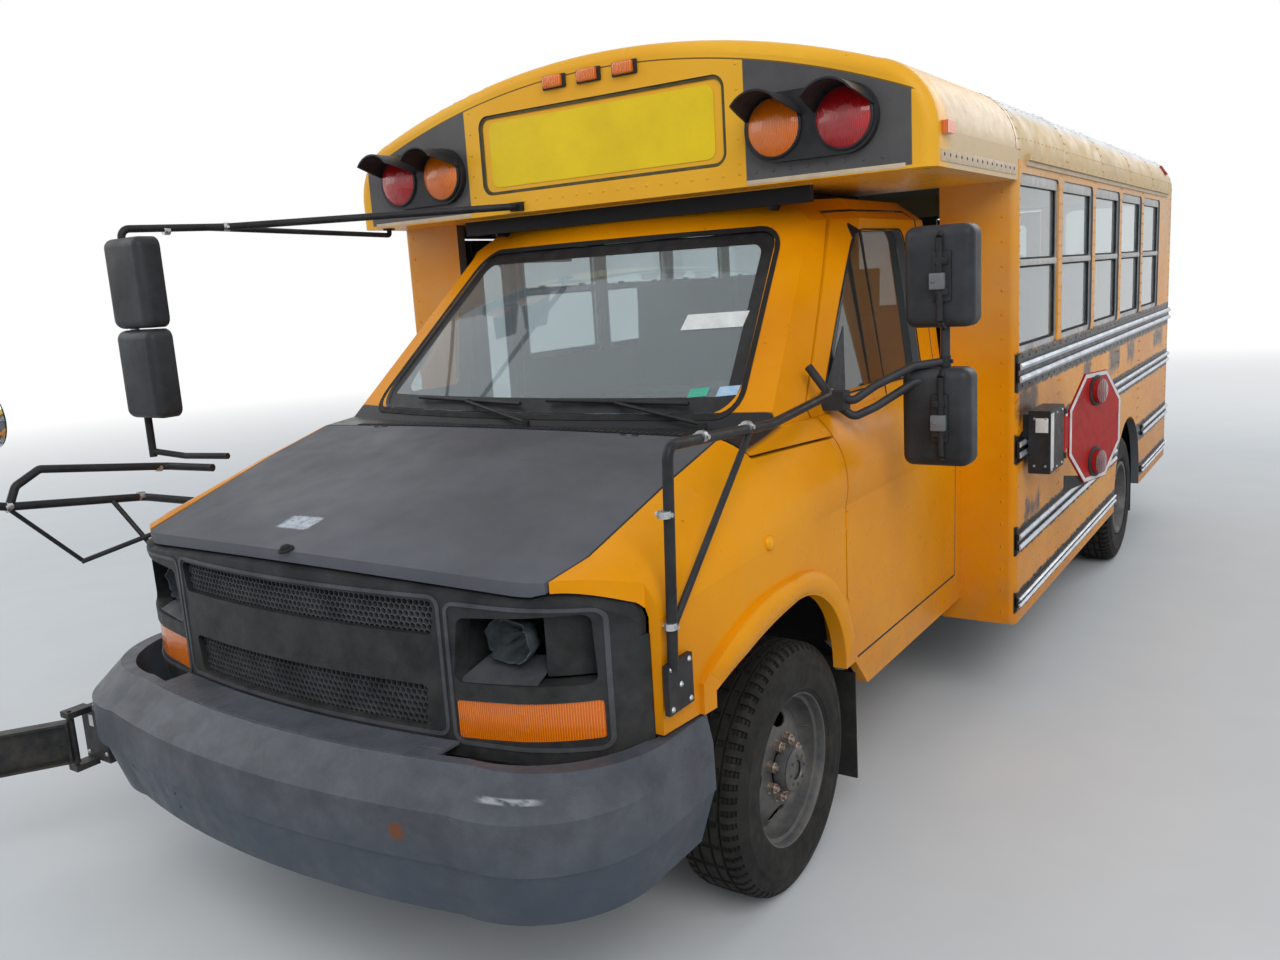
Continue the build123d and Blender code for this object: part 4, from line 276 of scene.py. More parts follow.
def cab_zones(f, colour):
    """Black scuttle below the windshield."""
    x = f.sum("ABSOLUTE", f.axis(0))
    scuttle = f.both(f.span(x, 0.90, 0.885), f.span(f.axis(1), -2.04, -2.05),
                     f.span(f.axis(2), 1.400, 1.397))
    return f.mix(scuttle, colour, (0.022, 0.022, 0.024))


def fender_zones(f, colour):
    """Black inner sides of the fenders."""
    x = f.sum("ABSOLUTE", f.axis(0))
    z = f.axis(2)
    hidden = f.both(f.span(x, 0.93, 0.925), f.span(z, 1.02, 1.0))
    return f.mix(hidden, colour, (0.02, 0.02, 0.021))


def plain_paint(name, main, worn, rough, scale, dust):
    """Paint or moulded plastic with worn patches, fine grain and road dust low down."""
    f = Finish(name)
    colour = f.mix(f.span(f.noise(scale, 6.0, 0.65), 0.35, 0.7), main, worn)
    low = f.both(f.span(f.axis(2), 1.1, 0.3), f.span(f.noise(11.0, 6.0, 0.7), 0.4, 0.75))
    colour = f.mix(f.sum("MULTIPLY", low, dust), colour, DUST)
    rough = f.vary(*rough, scale * 3, 4.0)
    return f.dress(colour, rough, f.noise(140.0, 2.0), 0.0006)


def metal(name, main, worn, rough=(0.25, 0.45), scale=12.0):
    """Bare or brushed metal, duller where it is worn."""
    f = Finish(name)
    colour = f.mix(f.span(f.noise(scale, 5.0, 0.7), 0.4, 0.75), main, worn)
    rough = f.vary(*rough, scale * 2, 4.0)
    return f.dress(colour, rough, f.noise(90.0, 2.0), 0.0003, Metallic=0.9)


def rubber(name, main=(0.010, 0.010, 0.010), dust=(0.058, 0.051, 0.042), share=0.55):
    """Black rubber under road dust."""
    f = Finish(name)
    dusty = f.span(f.noise(14.0, 7.0, 0.75), 0.35, 0.8, 0.0, share)
    colour = f.mix(dusty, main, dust)
    return f.dress(colour, f.vary(0.6, 0.85, 30.0), f.noise(120.0, 4.0), 0.0008)


def lens(name, bright, deep):
    """Ribbed lamp plastic."""
    f = Finish(name)
    ribs = f.nodes.new("ShaderNodeTexWave")
    ribs.bands_direction = "X"
    f.links.new(f.place, ribs.inputs["Vector"])
    f.feed(ribs, "Scale", 60.0)
    colour = f.mix(f.span(ribs.outputs["Fac"], 0.1, 1.0), bright, deep)
    colour = f.mix(f.span(f.noise(6.0, 4.0), 0.45, 0.7, 0.0, 0.45), colour, deep)
    colour = f.mix(f.span(f.noise(40.0, 4.0), 0.6, 0.85, 0.0, 0.25), colour, DUST)
    return f.dress(colour, f.vary(0.12, 0.3, 25.0), ribs.outputs["Fac"], 0.002,
                   Coat_Weight=0.6, Coat_Roughness=0.08)


def glass(name, tint, film, share):
    """Clear glass, with a share of dust film that catches the light."""
    f = Finish(name)
    smear = f.span(f.noise(5.0, 6.0, 0.7), 0.4, 0.8, 0.0, 0.02)
    dusty = f.span(f.noise(2.2, 5.0, 0.6), 0.3, 0.75)
    return f.dress(f.mix(dusty, tint, film), smear, IOR=1.5, Transmission_Weight=1.0 - share)


def roof_paint():
    """Grey-white roof sheets, streaked, with faded yellow low on the flanks."""
    f = Finish("roof_white")
    z = f.axis(2)
    streaks = f.span(f.noise(5.0, 6.0, 0.7, (0.4, 2.0, 1.0)), 0.35, 0.75)
    colour = f.mix(streaks, (0.62, 0.64, 0.66), (0.40, 0.41, 0.42))
    flank = f.span(z, 2.36, 2.30)
    faded = f.mix(f.vary(0.0, 1.0, 3.0, 5.0), PEACH, (0.62, 0.42, 0.18))
    colour = f.mix(flank, colour, faded)
    return f.dress(colour, f.vary(0.35, 0.6, 12.0), f.noise(40.0), 0.0006)


def rail_paint():
    """Black channel with two bare silver ridges."""
    f = Finish("rub_rail")
    x = f.sum("ABSOLUTE", f.axis(0))
    ragged = f.sum("ADD", x, f.vary(-0.002, 0.002, 45.0, 4.0))
    foot, crest = BODY_HALF + 0.0095, BODY_HALF + 0.0125
    silver = f.mix(f.span(f.noise(9.0, 6.0, 0.7), 0.4, 0.8), (0.62, 0.66, 0.72), (0.30, 0.31, 0.33))
    colour = f.mix(f.span(ragged, foot, crest), (0.016, 0.016, 0.018), silver)
    f.feed(f.shader, "Metallic", f.span(ragged, foot, crest, 0.0, 0.65))
    return f.dress(colour, f.vary(0.28, 0.45, 20.0), f.noise(70.0), 0.0005)


def bumper_paint():
    """Dark grained bumper, bluish and dusty below, scuffed, with one rust spot; the rear one is black."""
    f = Finish("bumper_grey")
    y = f.axis(1)
    z = f.axis(2)
    colour = f.mix(f.span(f.noise(6.0, 6.0, 0.7), 0.35, 0.7), (0.055, 0.058, 0.066), (0.10, 0.105, 0.12))
    low = f.both(f.span(z, 0.62, 0.5), f.span(f.noise(4.0, 6.0, 0.75, (1, 1, 0.5)), 0.3, 0.65))
    colour = f.mix(f.sum("MULTIPLY", low, 0.8), colour, (0.050, 0.068, 0.095))
    scratch = f.both(f.span(f.off(z, 0.703), 0.006, 0.003),
                     f.span(f.axis(0), 0.70, 0.73), f.span(f.axis(0), 0.86, 0.83),
                     f.span(f.noise(60.0, 3.0, 0.5, (0.3, 1, 1)), 0.35, 0.5))
    colour = f.mix(scratch, colour, (0.30, 0.31, 0.325))
    away = f.vector("DISTANCE", f.place, (0.52, -3.307, 0.611))
    rust = f.span(f.sum("ADD", away, f.vary(-0.007, 0.007, 110.0, 5.0, 0.7)), 0.026, 0.012)
    colour = f.mix(rust, colour, (0.16, 0.055, 0.02))
    colour = f.mix(f.span(y, 0.0, 0.1), colour, (0.015, 0.015, 0.016))
    return f.dress(colour, f.vary(0.34, 0.55, 18.0, 5.0), f.noise(230.0, 3.0), 0.0012)


def hood_paint():
    """Matte charcoal with one scraped patch of bare grey."""
    f = Finish("hood_charcoal")
    colour = f.mix(f.span(f.noise(3.0, 6.0, 0.65), 0.35, 0.7), (0.070, 0.073, 0.082), (0.100, 0.104, 0.117))
    across = f.off(f.axis(0), -0.103)
    back = f.off(f.axis(1), -2.985)
    ragged = f.vary(-0.005, 0.005, 70.0, 5.0, 0.7)
    patch = f.both(f.span(f.sum("ADD", across, ragged), 0.066, 0.058),
                   f.span(f.sum("ADD", back, ragged), 0.036, 0.028))
    flakes = f.mix(f.span(f.noise(60.0, 4.0), 0.45, 0.6), (0.46, 0.49, 0.53), (0.28, 0.30, 0.33))
    colour = f.mix(patch, colour, flakes)
    return f.dress(colour, f.vary(0.42, 0.55, 9.0, 4.0), f.noise(140.0, 2.0), 0.0005)


def wheel_paint():
    """Dark steel wheels under brown road dust."""
    f = Finish("wheel_steel")
    colour = f.mix(f.span(f.noise(16.0, 6.0, 0.7), 0.35, 0.75), (0.062, 0.064, 0.070), (0.15, 0.135, 0.115))
    return f.dress(colour, f.vary(0.45, 0.7, 30.0), f.noise(90.0, 4.0), 0.0007, Metallic=0.3)


def stop_paint():
    """Worn red of the blank blade."""
    f = Finish("stop_red")
    colour = f.mix(f.span(f.noise(12.0, 5.0, 0.7), 0.35, 0.8), (0.42, 0.012, 0.010), (0.26, 0.016, 0.012))
    return f.dress(colour, f.vary(0.3, 0.5, 30.0), f.noise(80.0), 0.0004)


def seat_vinyl():
    """Dark grained vinyl of the benches."""
    f = Finish("seat_vinyl")
    colour = f.mix(f.noise(9.0, 5.0), (0.025, 0.03, 0.045), (0.06, 0.065, 0.085))
    rough = f.vary(0.4, 0.6, 30.0)
    return f.dress(colour, rough, f.noise(180.0, 3.0), 0.0012, Sheen_Weight=0.1)


# Paints and plastics: name, main and worn colour, roughness, scale of the wear, road dust
PAINTS = {
    "fascia": ("fascia_black", (0.013, 0.0135, 0.014), (0.034, 0.035, 0.037), (0.42, 0.58), 9.0, 0.35),
    "black": ("black_paint", (0.014, 0.014, 0.015), (0.03, 0.03, 0.032), (0.32, 0.5), 14.0, 0.3),
    "plastic": ("black_plastic", (0.022, 0.022, 0.024), (0.05, 0.05, 0.055), (0.42, 0.6), 12.0, 0.2),
    "mirror_shell": ("mirror_shell", (0.018, 0.019, 0.021), (0.045, 0.046, 0.050), (0.38, 0.52), 5.0, 0.0),
    "cabin": ("cabin_plastic", (0.055, 0.06, 0.068), (0.09, 0.095, 0.105), (0.5, 0.7), 6.0, 0.0),
    "under": ("chassis_black", (0.018, 0.017, 0.016), (0.05, 0.04, 0.032), (0.6, 0.8), 10.0, 0.7),
    "white": ("sign_white", (0.72, 0.72, 0.70), (0.5, 0.49, 0.47), (0.35, 0.5), 14.0, 0.0),
    # painted shade of the side strips' holes, on the studs that stand for them
    "rust": ("hole_shade_studs", (0.14, 0.07, 0.04), (0.07, 0.05, 0.04), (0.6, 0.8), 40.0, 0.0),
    "drip": ("peach_moulding", (0.60, 0.46, 0.31), (0.45, 0.36, 0.26), (0.4, 0.6), 18.0, 0.0),
    "header": ("window_header", (0.50, 0.48, 0.45), (0.36, 0.35, 0.33), (0.35, 0.5), 14.0, 0.0),
    "sign_edge": ("sign_moulding", (0.055, 0.045, 0.02), (0.12, 0.09, 0.03), (0.4, 0.6), 20.0, 0.0),
    "sign_sheet": ("sign_yellow", (0.80, 0.55, 0.010), (0.70, 0.47, 0.012), (0.3, 0.45), 5.0, 0.0),
    "label_green": ("green_label", (0.05, 0.34, 0.22), (0.10, 0.40, 0.28), (0.4, 0.6), 30.0, 0.0),
    "label_blue": ("blue_label", (0.25, 0.42, 0.62), (0.5, 0.58, 0.66), (0.4, 0.6), 30.0, 0.0),
    "bucket": ("lamp_bucket", (0.035, 0.042, 0.046), (0.085, 0.095, 0.10), (0.45, 0.65), 25.0, 0.0),
    "marker_yellow": ("marker_yellow", (0.85, 0.36, 0.004), (0.70, 0.26, 0.003), (0.2, 0.3), 20.0, 0.0),
    "mesh": ("grille_mesh_grey", (0.042, 0.043, 0.046), (0.085, 0.086, 0.09), (0.4, 0.6), 12.0, 0.2),
    "engine": ("engine_iron", (0.05, 0.048, 0.045), (0.11, 0.10, 0.09), (0.6, 0.8), 10.0, 0.5),
    "fascia_rim": ("fascia_rim", (0.045, 0.046, 0.050), (0.085, 0.088, 0.095), (0.35, 0.5), 9.0, 0.2),
    "mirror_rim": ("mirror_rim", (0.12, 0.122, 0.125), (0.2, 0.2, 0.205), (0.35, 0.5), 9.0, 0.0),
}

FINISH = {key: plain_paint(*paint) for key, paint in PAINTS.items()}
FINISH.update({
    "side": bus_yellow("side_yellow", side_zones),
    "cap": bus_yellow("cap_yellow", cap_zones, (0, -1.1, 2.2), 0.5, (0.80, 0.41, 0.030), (0.76, 0.34, 0.016)),
    "cab": bus_yellow("cab_yellow", cab_zones, (0, -1.3, 1.25), 0.1),
    "fender": bus_yellow("fender_yellow", fender_zones, None, 0.1),
    "door": bus_yellow("door_yellow", None, (0, -1.3, 1.25), 0.1),
    "rear": bus_yellow("rear_yellow"),
    "roof": roof_paint(),
    "hood": hood_paint(),
    "bumper": bumper_paint(),
    "rail": rail_paint(),
    "sash": metal("sash_metal", (0.42, 0.43, 0.44), (0.2, 0.2, 0.21), (0.35, 0.5)),
    "bare": metal("bare_steel", (0.55, 0.56, 0.58), (0.28, 0.27, 0.26)),
    "wheel": wheel_paint(),
    "tyre": rubber("tyre_rubber"),
    "flap": rubber("flap_rubber", (0.014, 0.015, 0.014), (0.06, 0.055, 0.045), 0.5),
    "seal": rubber("seal_rubber", (0.012, 0.012, 0.012), (0.04, 0.038, 0.035), 0.4),
    "amber": lens("amber_lens", (0.95, 0.235, 0.002), (0.72, 0.120, 0.001)),
    "red": lens("red_lens", (0.62, 0.008, 0.012), (0.30, 0.004, 0.006)),
    "stop": stop_paint(),
    "seat": seat_vinyl(),
    "red_dark": lens("dark_red_lens", (0.20, 0.010, 0.014), (0.10, 0.006, 0.008)),
    "nut": metal("wheel_nuts", (0.42, 0.38, 0.33), (0.22, 0.10, 0.06), (0.35, 0.55), 40.0),
    "mirror_glass": metal("mirror_glass", (0.82, 0.86, 0.90), (0.70, 0.74, 0.78), (0.02, 0.06), 6.0),
    "window": glass("window_glass", (0.66, 0.74, 0.76), (0.60, 0.67, 0.69), 0.12),
    "dark_glass": glass("door_glass", (0.22, 0.25, 0.25), (0.30, 0.33, 0.33), 0.1),
})

NODE_FINISH = {
    "side": ["left_wall", "right_wall"],
    "cap": ["front_cap"],
    "cab": ["cab_shell"],
    "fender": ["fenders"],
    "door": ["driver_door"],
    "rear": ["rear_wall", "rear_door"],
    "roof": ["roof"],
    "hood": ["hood"],
    "fascia": ["front_fascia"],
    "bumper": ["bumpers"],
    "rail": ["rub_rails"],
    "black": ["lamp_hoods", "far_mirror_arms", "fender_frames", "entry_leaf_front", "entry_leaf_rear",
              "wipers", "arm_boxes", "crossing_arm"],
    "plastic": ["grille_mesh"],
    "mirror_shell": ["door_mirrors", "far_mirror_heads"],
    "cabin": ["cab_interior"],
    "under": ["body_floor", "chassis_frame", "axles", "knuckle_left", "knuckle_right", "driveline"],
    "sash": ["window_sashes"],
    "wheel": ["front_wheel_left", "front_wheel_right", "rear_wheels_left", "rear_wheels_right"],
    "tyre": ["front_tyre_left", "front_tyre_right", "rear_tyres_left", "rear_tyres_right"],
    "flap": ["mud_flaps"],
    "amber": ["amber_lamps"],
    "red": ["red_lamps"],
    "stop": ["stop_blade"],
    "seat": ["bench_seats"],
    "engine": ["engine_block"],
    "window": ["side_glass", "entry_glass_front", "entry_glass_rear", "rear_door_glass"],
    "dark_glass": ["driver_door_glass"],
}


def finish_nodes():
    """Gives every CAD node its material."""
    for key, names in NODE_FINISH.items():
        for name in names:
            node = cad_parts[name]
            if not node.material_slots:
                node.data.materials.append(FINISH[key])
            for slot in node.material_slots:
                slot.material = FINISH[key]


# Mesh helpers
def settle(name, bm, finish, body, smooth=40.0):
    """Makes a mesh piece from a bmesh and lets it ride on a body."""
    mesh = bpy.data.meshes.new(name)
    bm.to_mesh(mesh)
    bm.free()
    mesh.materials.append(FINISH[finish])
    for face in mesh.polygons:
        face.use_smooth = smooth > 0
    if smooth > 0:
        mesh.set_sharp_from_angle(angle=radians(smooth))
    piece = bpy.data.objects.new(name, mesh)
    bpy.context.scene.collection.objects.link(piece)
    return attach(piece, body)


def placed(at, normal):
    """A place whose local Z runs along the normal."""
    return Matrix.Translation(at) @ Vector(normal).to_track_quat("Z", "Y").to_matrix().to_4x4()


def facing_end(x, y, z, way=-1):
    """A place whose local Z looks to the front of the bus, or to the rear with way 1."""
    return Matrix.Translation((x, y, z)) @ Matrix.Rotation(radians(-90 * way), 4, "X")


def facing_side(side, at):
    """A place whose local Z looks outward from the side of the bus, local Y up."""
    turn = Matrix(((0, 0, side), (side, 0, 0), (0, 1, 0))).to_4x4()
    return Matrix.Translation(at) @ turn


def touch(node, start, way):
    """Where a ray meets a CAD node: whether it does, the point and the surface's normal."""
    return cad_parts[node].ray_cast(Vector(start), Vector(way))[:3]


def raise_faces(bm, faces, by):
    """Extrudes faces by a vector."""
    made = bmesh.ops.extrude_face_region(bm, geom=faces)["geom"]
    verts = [g for g in made if isinstance(g, bmesh.types.BMVert)]
    bmesh.ops.translate(bm, vec=by, verts=verts)
    return verts


def solidify(bm, thick):
    bmesh.ops.solidify(bm, geom=bm.faces[:], thickness=thick)


def spin_line(bm, points, centre, axis, steps):
    """Spins a line of points about an axis."""
    verts = [bm.verts.new(point) for point in points]
    edges = [bm.edges.new(pair) for pair in zip(verts, verts[1:])]
    bmesh.ops.spin(bm, geom=verts + edges, cent=centre, axis=axis, angle=tau, steps=steps,
                   use_merge=True)


def edges_at(verts):
    """The edges at some points, each once and always in the same order."""
    return list(dict.fromkeys(e for v in verts for e in v.link_edges))


def faces_at(verts):
    """The faces at some points, in the same way."""
    return list(dict.fromkeys(f for v in verts for f in v.link_faces))


def edges_of(faces):
    """The edges of some faces, in the same way."""
    return list(dict.fromkeys(e for f in faces for e in f.edges))


def points_of(faces):
    """The points of some faces, in the same way."""
    return list(dict.fromkeys(v for f in faces for v in f.verts))


def turned(bm, outline, place, steps=32):
    """Spins an outline of radius and height about the place's Z."""
    before = set(bm.faces)
    spin_line(bm, [(r, 0, h) for r, h in outline], (0, 0, 0), (0, 0, 1), steps)
    points = points_of(f for f in bm.faces if f not in before)
    bmesh.ops.remove_doubles(bm, verts=points, dist=0.00004)
    made = [f for f in bm.faces if f not in before]
    face_out(bm, made)
    bmesh.ops.transform(bm, matrix=place, verts=points_of(made))


def bevel(bm, geom, offset, segments, affect="EDGES"):
    return bmesh.ops.bevel(bm, geom=geom, offset=offset, segments=segments, profile=0.5, affect=affect,
                           material=-1)


def face_out(bm, faces=None):
    """Turns the normals outward, of all faces if none are given."""
    bmesh.ops.recalc_face_normals(bm, faces=bm.faces if faces is None else faces)


def add_block(bm, low, high, edge=0.002, turn=None):
    low, high = Vector(low), Vector(high)
    made = bmesh.ops.create_cube(bm, size=1.0)["verts"]
    bmesh.ops.scale(bm, vec=high - low, verts=made)
    if edge:
        made = bevel(bm, edges_at(made), edge, 2)["verts"]
    if turn is not None:
        bmesh.ops.transform(bm, matrix=turn, verts=made)
    bmesh.ops.translate(bm, vec=(low + high) / 2, verts=made)
    return made


def add_side_block(bm, side, low, high, edge):
    """A block given for the driver's side, or its mirror image."""
    x0, x1 = sorted((side * low[0], side * high[0]))
    add_block(bm, (x0, *low[1:]), (x1, *high[1:]), edge)


def add_rod(bm, start, end, radius, segments=16, tip=None):
    start, end = Vector(start), Vector(end)
    place = placed((start + end) / 2, end - start)
    return bmesh.ops.create_cone(bm, cap_ends=True, segments=segments, radius1=radius,
                                 radius2=radius if tip is None else tip, depth=(end - start).length,
                                 matrix=place)["verts"]


def add_rivet(bm, at, normal, radius, height, segments):
    place = placed(Vector(at) + Vector(normal) * height / 2, normal)
    bmesh.ops.create_cone(bm, cap_ends=True, segments=segments, radius1=radius, radius2=radius * 0.55,
                          depth=height, matrix=place)


def along(start, end, pitch):
    """Evenly spaced points from start to end."""
    start, end = Vector(start), Vector(end)
    count = max(1, round((end - start).length / pitch))
    return [start.lerp(end, i / count) for i in range(count + 1)]


def add_rivet_row(bm, start, end, pitch, *rivet):
    """A row of rivets; what follows the pitch is their normal, radius, height and segments."""
    for point in along(start, end, pitch):
        add_rivet(bm, point, *rivet)


def bevel_rim(bm, verts, offset):
    edges = [e for e in edges_at(verts) if e.calc_face_angle(0) > 0.8]
    bevel(bm, edges, offset, 3)


def nose_y(x, back):
    """The shallow arc of the nose seen from above, back metres behind its face."""
    return NOSE_Y + back + NOSE_R - sqrt(NOSE_R * NOSE_R - x * x)


def bumper_y(x, back):
    """The arc of the bumper, in the same way."""
    return BUMPER_Y + back + BUMPER_R - sqrt(BUMPER_R * BUMPER_R - x * x)


def make_grille():
    """Honeycomb of both grille openings, bent to the nose."""
    cell = 0.0098
    bm = bmesh.new()
    for low, high, half in ((0.766, 0.878, 0.466), (1.001, 1.090, 0.5)):
        rows = int((high - low) / (cell * 1.5))
        for row in range(rows + 1):
            z = low + row * (high - low) / rows
            shift = (row % 2) * cell * sqrt(3) / 2
            across = int((half - shift) / (cell * sqrt(3)))
            for column in range(-across, across + 1):
                x = column * cell * sqrt(3) + shift
                made = bmesh.ops.create_circle(bm, cap_ends=True, segments=6, radius=cell,
                                               matrix=facing_end(x, 0, z))
                faces = faces_at(made["verts"])
                bmesh.ops.inset_individual(bm, faces=faces, thickness=0.0013)
                bmesh.ops.delete(bm, geom=faces, context="FACES_ONLY")
    bmesh.ops.remove_doubles(bm, verts=bm.verts, dist=0.0006)
    for vert in bm.verts:
        vert.co.y = nose_y(vert.co.x, 0.016)
    face_out(bm)
    raise_faces(bm, bm.faces[:], (0, 0.03, 0))
    face_out(bm)
    piece = settle("grille_honeycomb", bm, "mesh", "bus", 0)
    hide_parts("grille_mesh")


# Half of a tyre's outline from bead to tread centre, as distance from the middle and radius
TYRE_OUTLINE = [
    (0.0880, 0.2180), (0.0990, 0.2240), (0.1040, 0.2350), (0.1060, 0.2360), (0.1110, 0.2680),
    (0.1114, 0.2860), (0.1096, 0.3060), (0.1104, 0.3080), (0.1094, 0.3120), (0.1076, 0.3140),
    (0.1010, 0.3400), (0.0970, 0.3480), (0.0900, 0.3590), (0.0800, 0.3670), (0.0690, 0.3696),
    (0.0560, 0.3704), (0.0540, 0.3610), (0.0480, 0.3610), (0.0460, 0.3710), (0.0240, 0.3718),
    (0.0220, 0.3620), (0.0160, 0.3620), (0.0140, 0.3718),
]
TREAD_BLOCKS = 64

# Circles of the wheel nuts and of the hub cap's bolts
NUT_CIRCLE_R = 0.0825
CAP_CIRCLE_R = 0.044


def add_tyre(bm, x, y):
    """One tyre turned about its axle, with cross grooves in the shoulders and ribs."""
    outline = TYRE_OUTLINE + [(-d, r) for d, r in reversed(TYRE_OUTLINE)]
    before = len(bm.faces)
    points = [(x + d, y, HUB_Z + r) for d, r in outline]
    spin_line(bm, points, (x, y, HUB_Z), (1, 0, 0), 2 * TREAD_BLOCKS)
    faces = list(bm.faces)[before:]
    face_out(bm, faces)
    grooves = []
    for face in faces:
        centre = face.calc_center_median()
        radius = hypot(centre.y - y, centre.z - HUB_Z)
        turn = degrees(atan2(centre.z - HUB_Z, centre.y - y))
        step = round(turn / 360 * 2 * TREAD_BLOCKS - 0.5)
        off = abs(centre.x - x)
        shoulder = 0.352 < radius and 0.06 < off < 0.096
        rib = radius > 0.370 and off < 0.046
        if (shoulder and step % 2 == 0) or (rib and step % 4 == 0):
            grooves.append(face)
    bmesh.ops.inset_individual(bm, faces=grooves, thickness=0.002, depth=-0.007, use_even_offset=True)


def make_tyres():
    """Tyres with their treads, in place of the plain ones."""
    for wheel, tyre, y, places in (("front_wheel_", "front_tyre_", FRONT_AXLE_Y, (FRONT_WHEEL_X,)),
                                   ("rear_wheels_", "rear_tyres_", REAR_AXLE_Y, REAR_TYRES_X)):
        for name, side in (("left", 1), ("right", -1)):
            bm = bmesh.new()
            for x in places:
                add_tyre(bm, side * x, y)
            node = tyre + name
            piece = settle(node + "_tread", bm, "tyre", wheel + name, 28)
            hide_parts(node)


def make_wheel_details():
    """Nuts, hub cap with its bolts, and valve of each wheel."""
    for start, x, y, hub, valve in (("front_wheel_", 0.928, FRONT_AXLE_Y, 0.0515, -0.03),
                                    ("rear_wheels_", 0.943, REAR_AXLE_Y, 0.0995, 0.03)):
        for name, side in (("left", 1), ("right", -1)):
            body = start + name
            bm = bmesh.new()
            for i in range(8):
                a = tau / 8 * (i + 0.5)
                spot = (y + NUT_CIRCLE_R * cos(a), HUB_Z + NUT_CIRCLE_R * sin(a))
                seat, nut, stud = x + 0.004, x + 0.022, x + 0.03
                add_rod(bm, (side * x, *spot), (side * seat, *spot), 0.0195, 16)
                made = add_rod(bm, (side * seat, *spot), (side * nut, *spot), 0.0165, 6)
                bevel(bm, edges_at(made), 0.0012, 1)
                add_rod(bm, (side * nut, *spot), (side * stud, *spot), 0.0095, 12, 0.008)
            settle(body + "_nuts", bm, "nut", body, 30)

            bm = bmesh.new()
            tip = x + hub
            outline = [(tip - 0.008, 0.0625), (tip - 0.004, 0.0640), (tip, 0.0600), (tip + 0.003, 0.0520),
                       (tip + 0.003, 0.0360), (tip - 0.001, 0.0330), (tip - 0.001, 0.0290)]
            spin_line(bm, [(side * px, y, HUB_Z + r) for px, r in outline], (0, y, HUB_Z), (1, 0, 0), 40)
            face_out(bm)
            for i in range(8):
                a = tau / 8 * i
                spot = (y + CAP_CIRCLE_R * cos(a), HUB_Z + CAP_CIRCLE_R * sin(a))
                add_rod(bm, (side * (tip + 0.0025), *spot), (side * (tip + 0.009), *spot), 0.005, 6)
            if start == "front_wheel_":
                low, high = (side * (x + 0.004), y, HUB_Z), (side * (tip - 0.006), y, HUB_Z)
                bevel_rim(bm, add_rod(bm, low, high, 0.062, 36), 0.006)
            foot = x + valve
            add_rod(bm, (side * foot, y + 0.150, HUB_Z + 0.06),
                    (side * (foot + 0.045), y + 0.162, HUB_Z + 0.066), 0.004, 8)
            settle(body + "_hub_cap", bm, "wheel", body, 35)


def make_lens_domes():
    """Rippled lenses with their rings on the eight warning lamps."""
    dome = []
    for i in range(23):
        r = 0.0885 * (1 - i / 22)
        bulge = sqrt(0.145 ** 2 - r ** 2) - 0.110
        dome.append((r, bulge + 0.0012 + 0.0008 * cos(i * pi)))
    ring = [(0.0955, -0.001), (0.0955, 0.006), (0.0925, 0.0085), (0.0880, 0.0085), (0.0865, 0.004)]
    for key, x in (("amber", 0.716), ("red", 0.950)):
        for outline, name, finish, smooth in ((dome, "_lamp_lenses", key, 60),
                                              (ring, "_lamp_rings", "black", 40)):
            bm = bmesh.new()
            for face_y, way in ((CAP_FACE_Y, -1), (REAR_Y, 1)):
                base = face_y + way * 0.0263
                for side in SIDES:
                    points = [(side * x + r, base + way * h, LAMP_Z) for r, h in outline]
                    spin_line(bm, points, (side * x, 0, LAMP_Z), (0, 1, 0), 40)
            bmesh.ops.remove_doubles(bm, verts=bm.verts, dist=0.00005)
            face_out(bm)
            settle(key + name, bm, finish, "bus", smooth)


def make_marker_lamps():
    """Ribbed caps and flat feet of the small marker lamps."""
    for start, finish, face_y, way in (("marker", "amber", CAP_FACE_Y, -1),
                                       ("rear_marker", "red", REAR_Y, 1)):
        feet = bmesh.new()
        caps = bmesh.new()
        for x in (-0.152, 0, 0.152):
            low, high = sorted((face_y + way * 0.0005, face_y + way * 0.009))
            add_block(feet, (x - 0.052, low, 2.488), (x + 0.052, high, 2.536), 0.004)
            low, high = sorted((face_y + way * 0.008, face_y + way * 0.0255))
            add_block(caps, (x - 0.041, low, 2.4915), (x + 0.041, high, 2.5325), 0.008)
            for i in range(7 if way < 0 else 0):
                rib = x - 0.03 + i * 0.01
                add_block(caps, (rib - 0.0012, face_y - 0.0268, 2.497),
                          (rib + 0.0012, face_y - 0.02, 2.527), 0)
        for side in SIDES if way > 0 else ():
            at, normal = roof_flank(0.42, side)
            made = add_block(caps, (-0.024, -0.036, -0.004), (0.024, 0.036, 0.016), 0.006)
            bmesh.ops.transform(caps, matrix=placed(at + Vector((0, 3.17, 0)), normal), verts=made)
        settle(start + "_feet", feet, "black", "bus")
        settle(start + "_caps", caps, finish, "bus")


# Arc of the roof's rounded flank
FLANK_TURN = 77.2
FLANK_CENTRE = (0.9893, 0, 2.1854)
FLANK_R = 0.2297


def roof_flank(share, side=1):
    """A point of the roof's rounded flank at y 0 and its normal, from the wall (0) to the crown (1)."""
    angle = radians(FLANK_TURN) * share
    normal = Vector((cos(angle), 0, sin(angle)))
    at = Vector(FLANK_CENTRE) + normal * FLANK_R
    return Vector((side * at.x, 0, at.z)), Vector((side * normal.x, 0, normal.z))


def roof_crown(x):
    """A point of the roof's crown at y 0 and its normal."""
    z = ROOF_TOP_Z - ROOF_ARC_R + sqrt(ROOF_ARC_R ** 2 - x * x)
    return Vector((x, 0, z)), Vector((x, 0, z - ROOF_TOP_Z + ROOF_ARC_R)).normalized()


def roof_line():
    """Points and normals over the roof from wall to wall."""
    left = [roof_flank(i / 8, 1) for i in range(9)]
    right = [roof_flank(i / 8, -1) for i in range(9)]
    crown = [roof_crown(0.96 - i * 0.12) for i in range(17)]
    return left + crown + right[::-1]


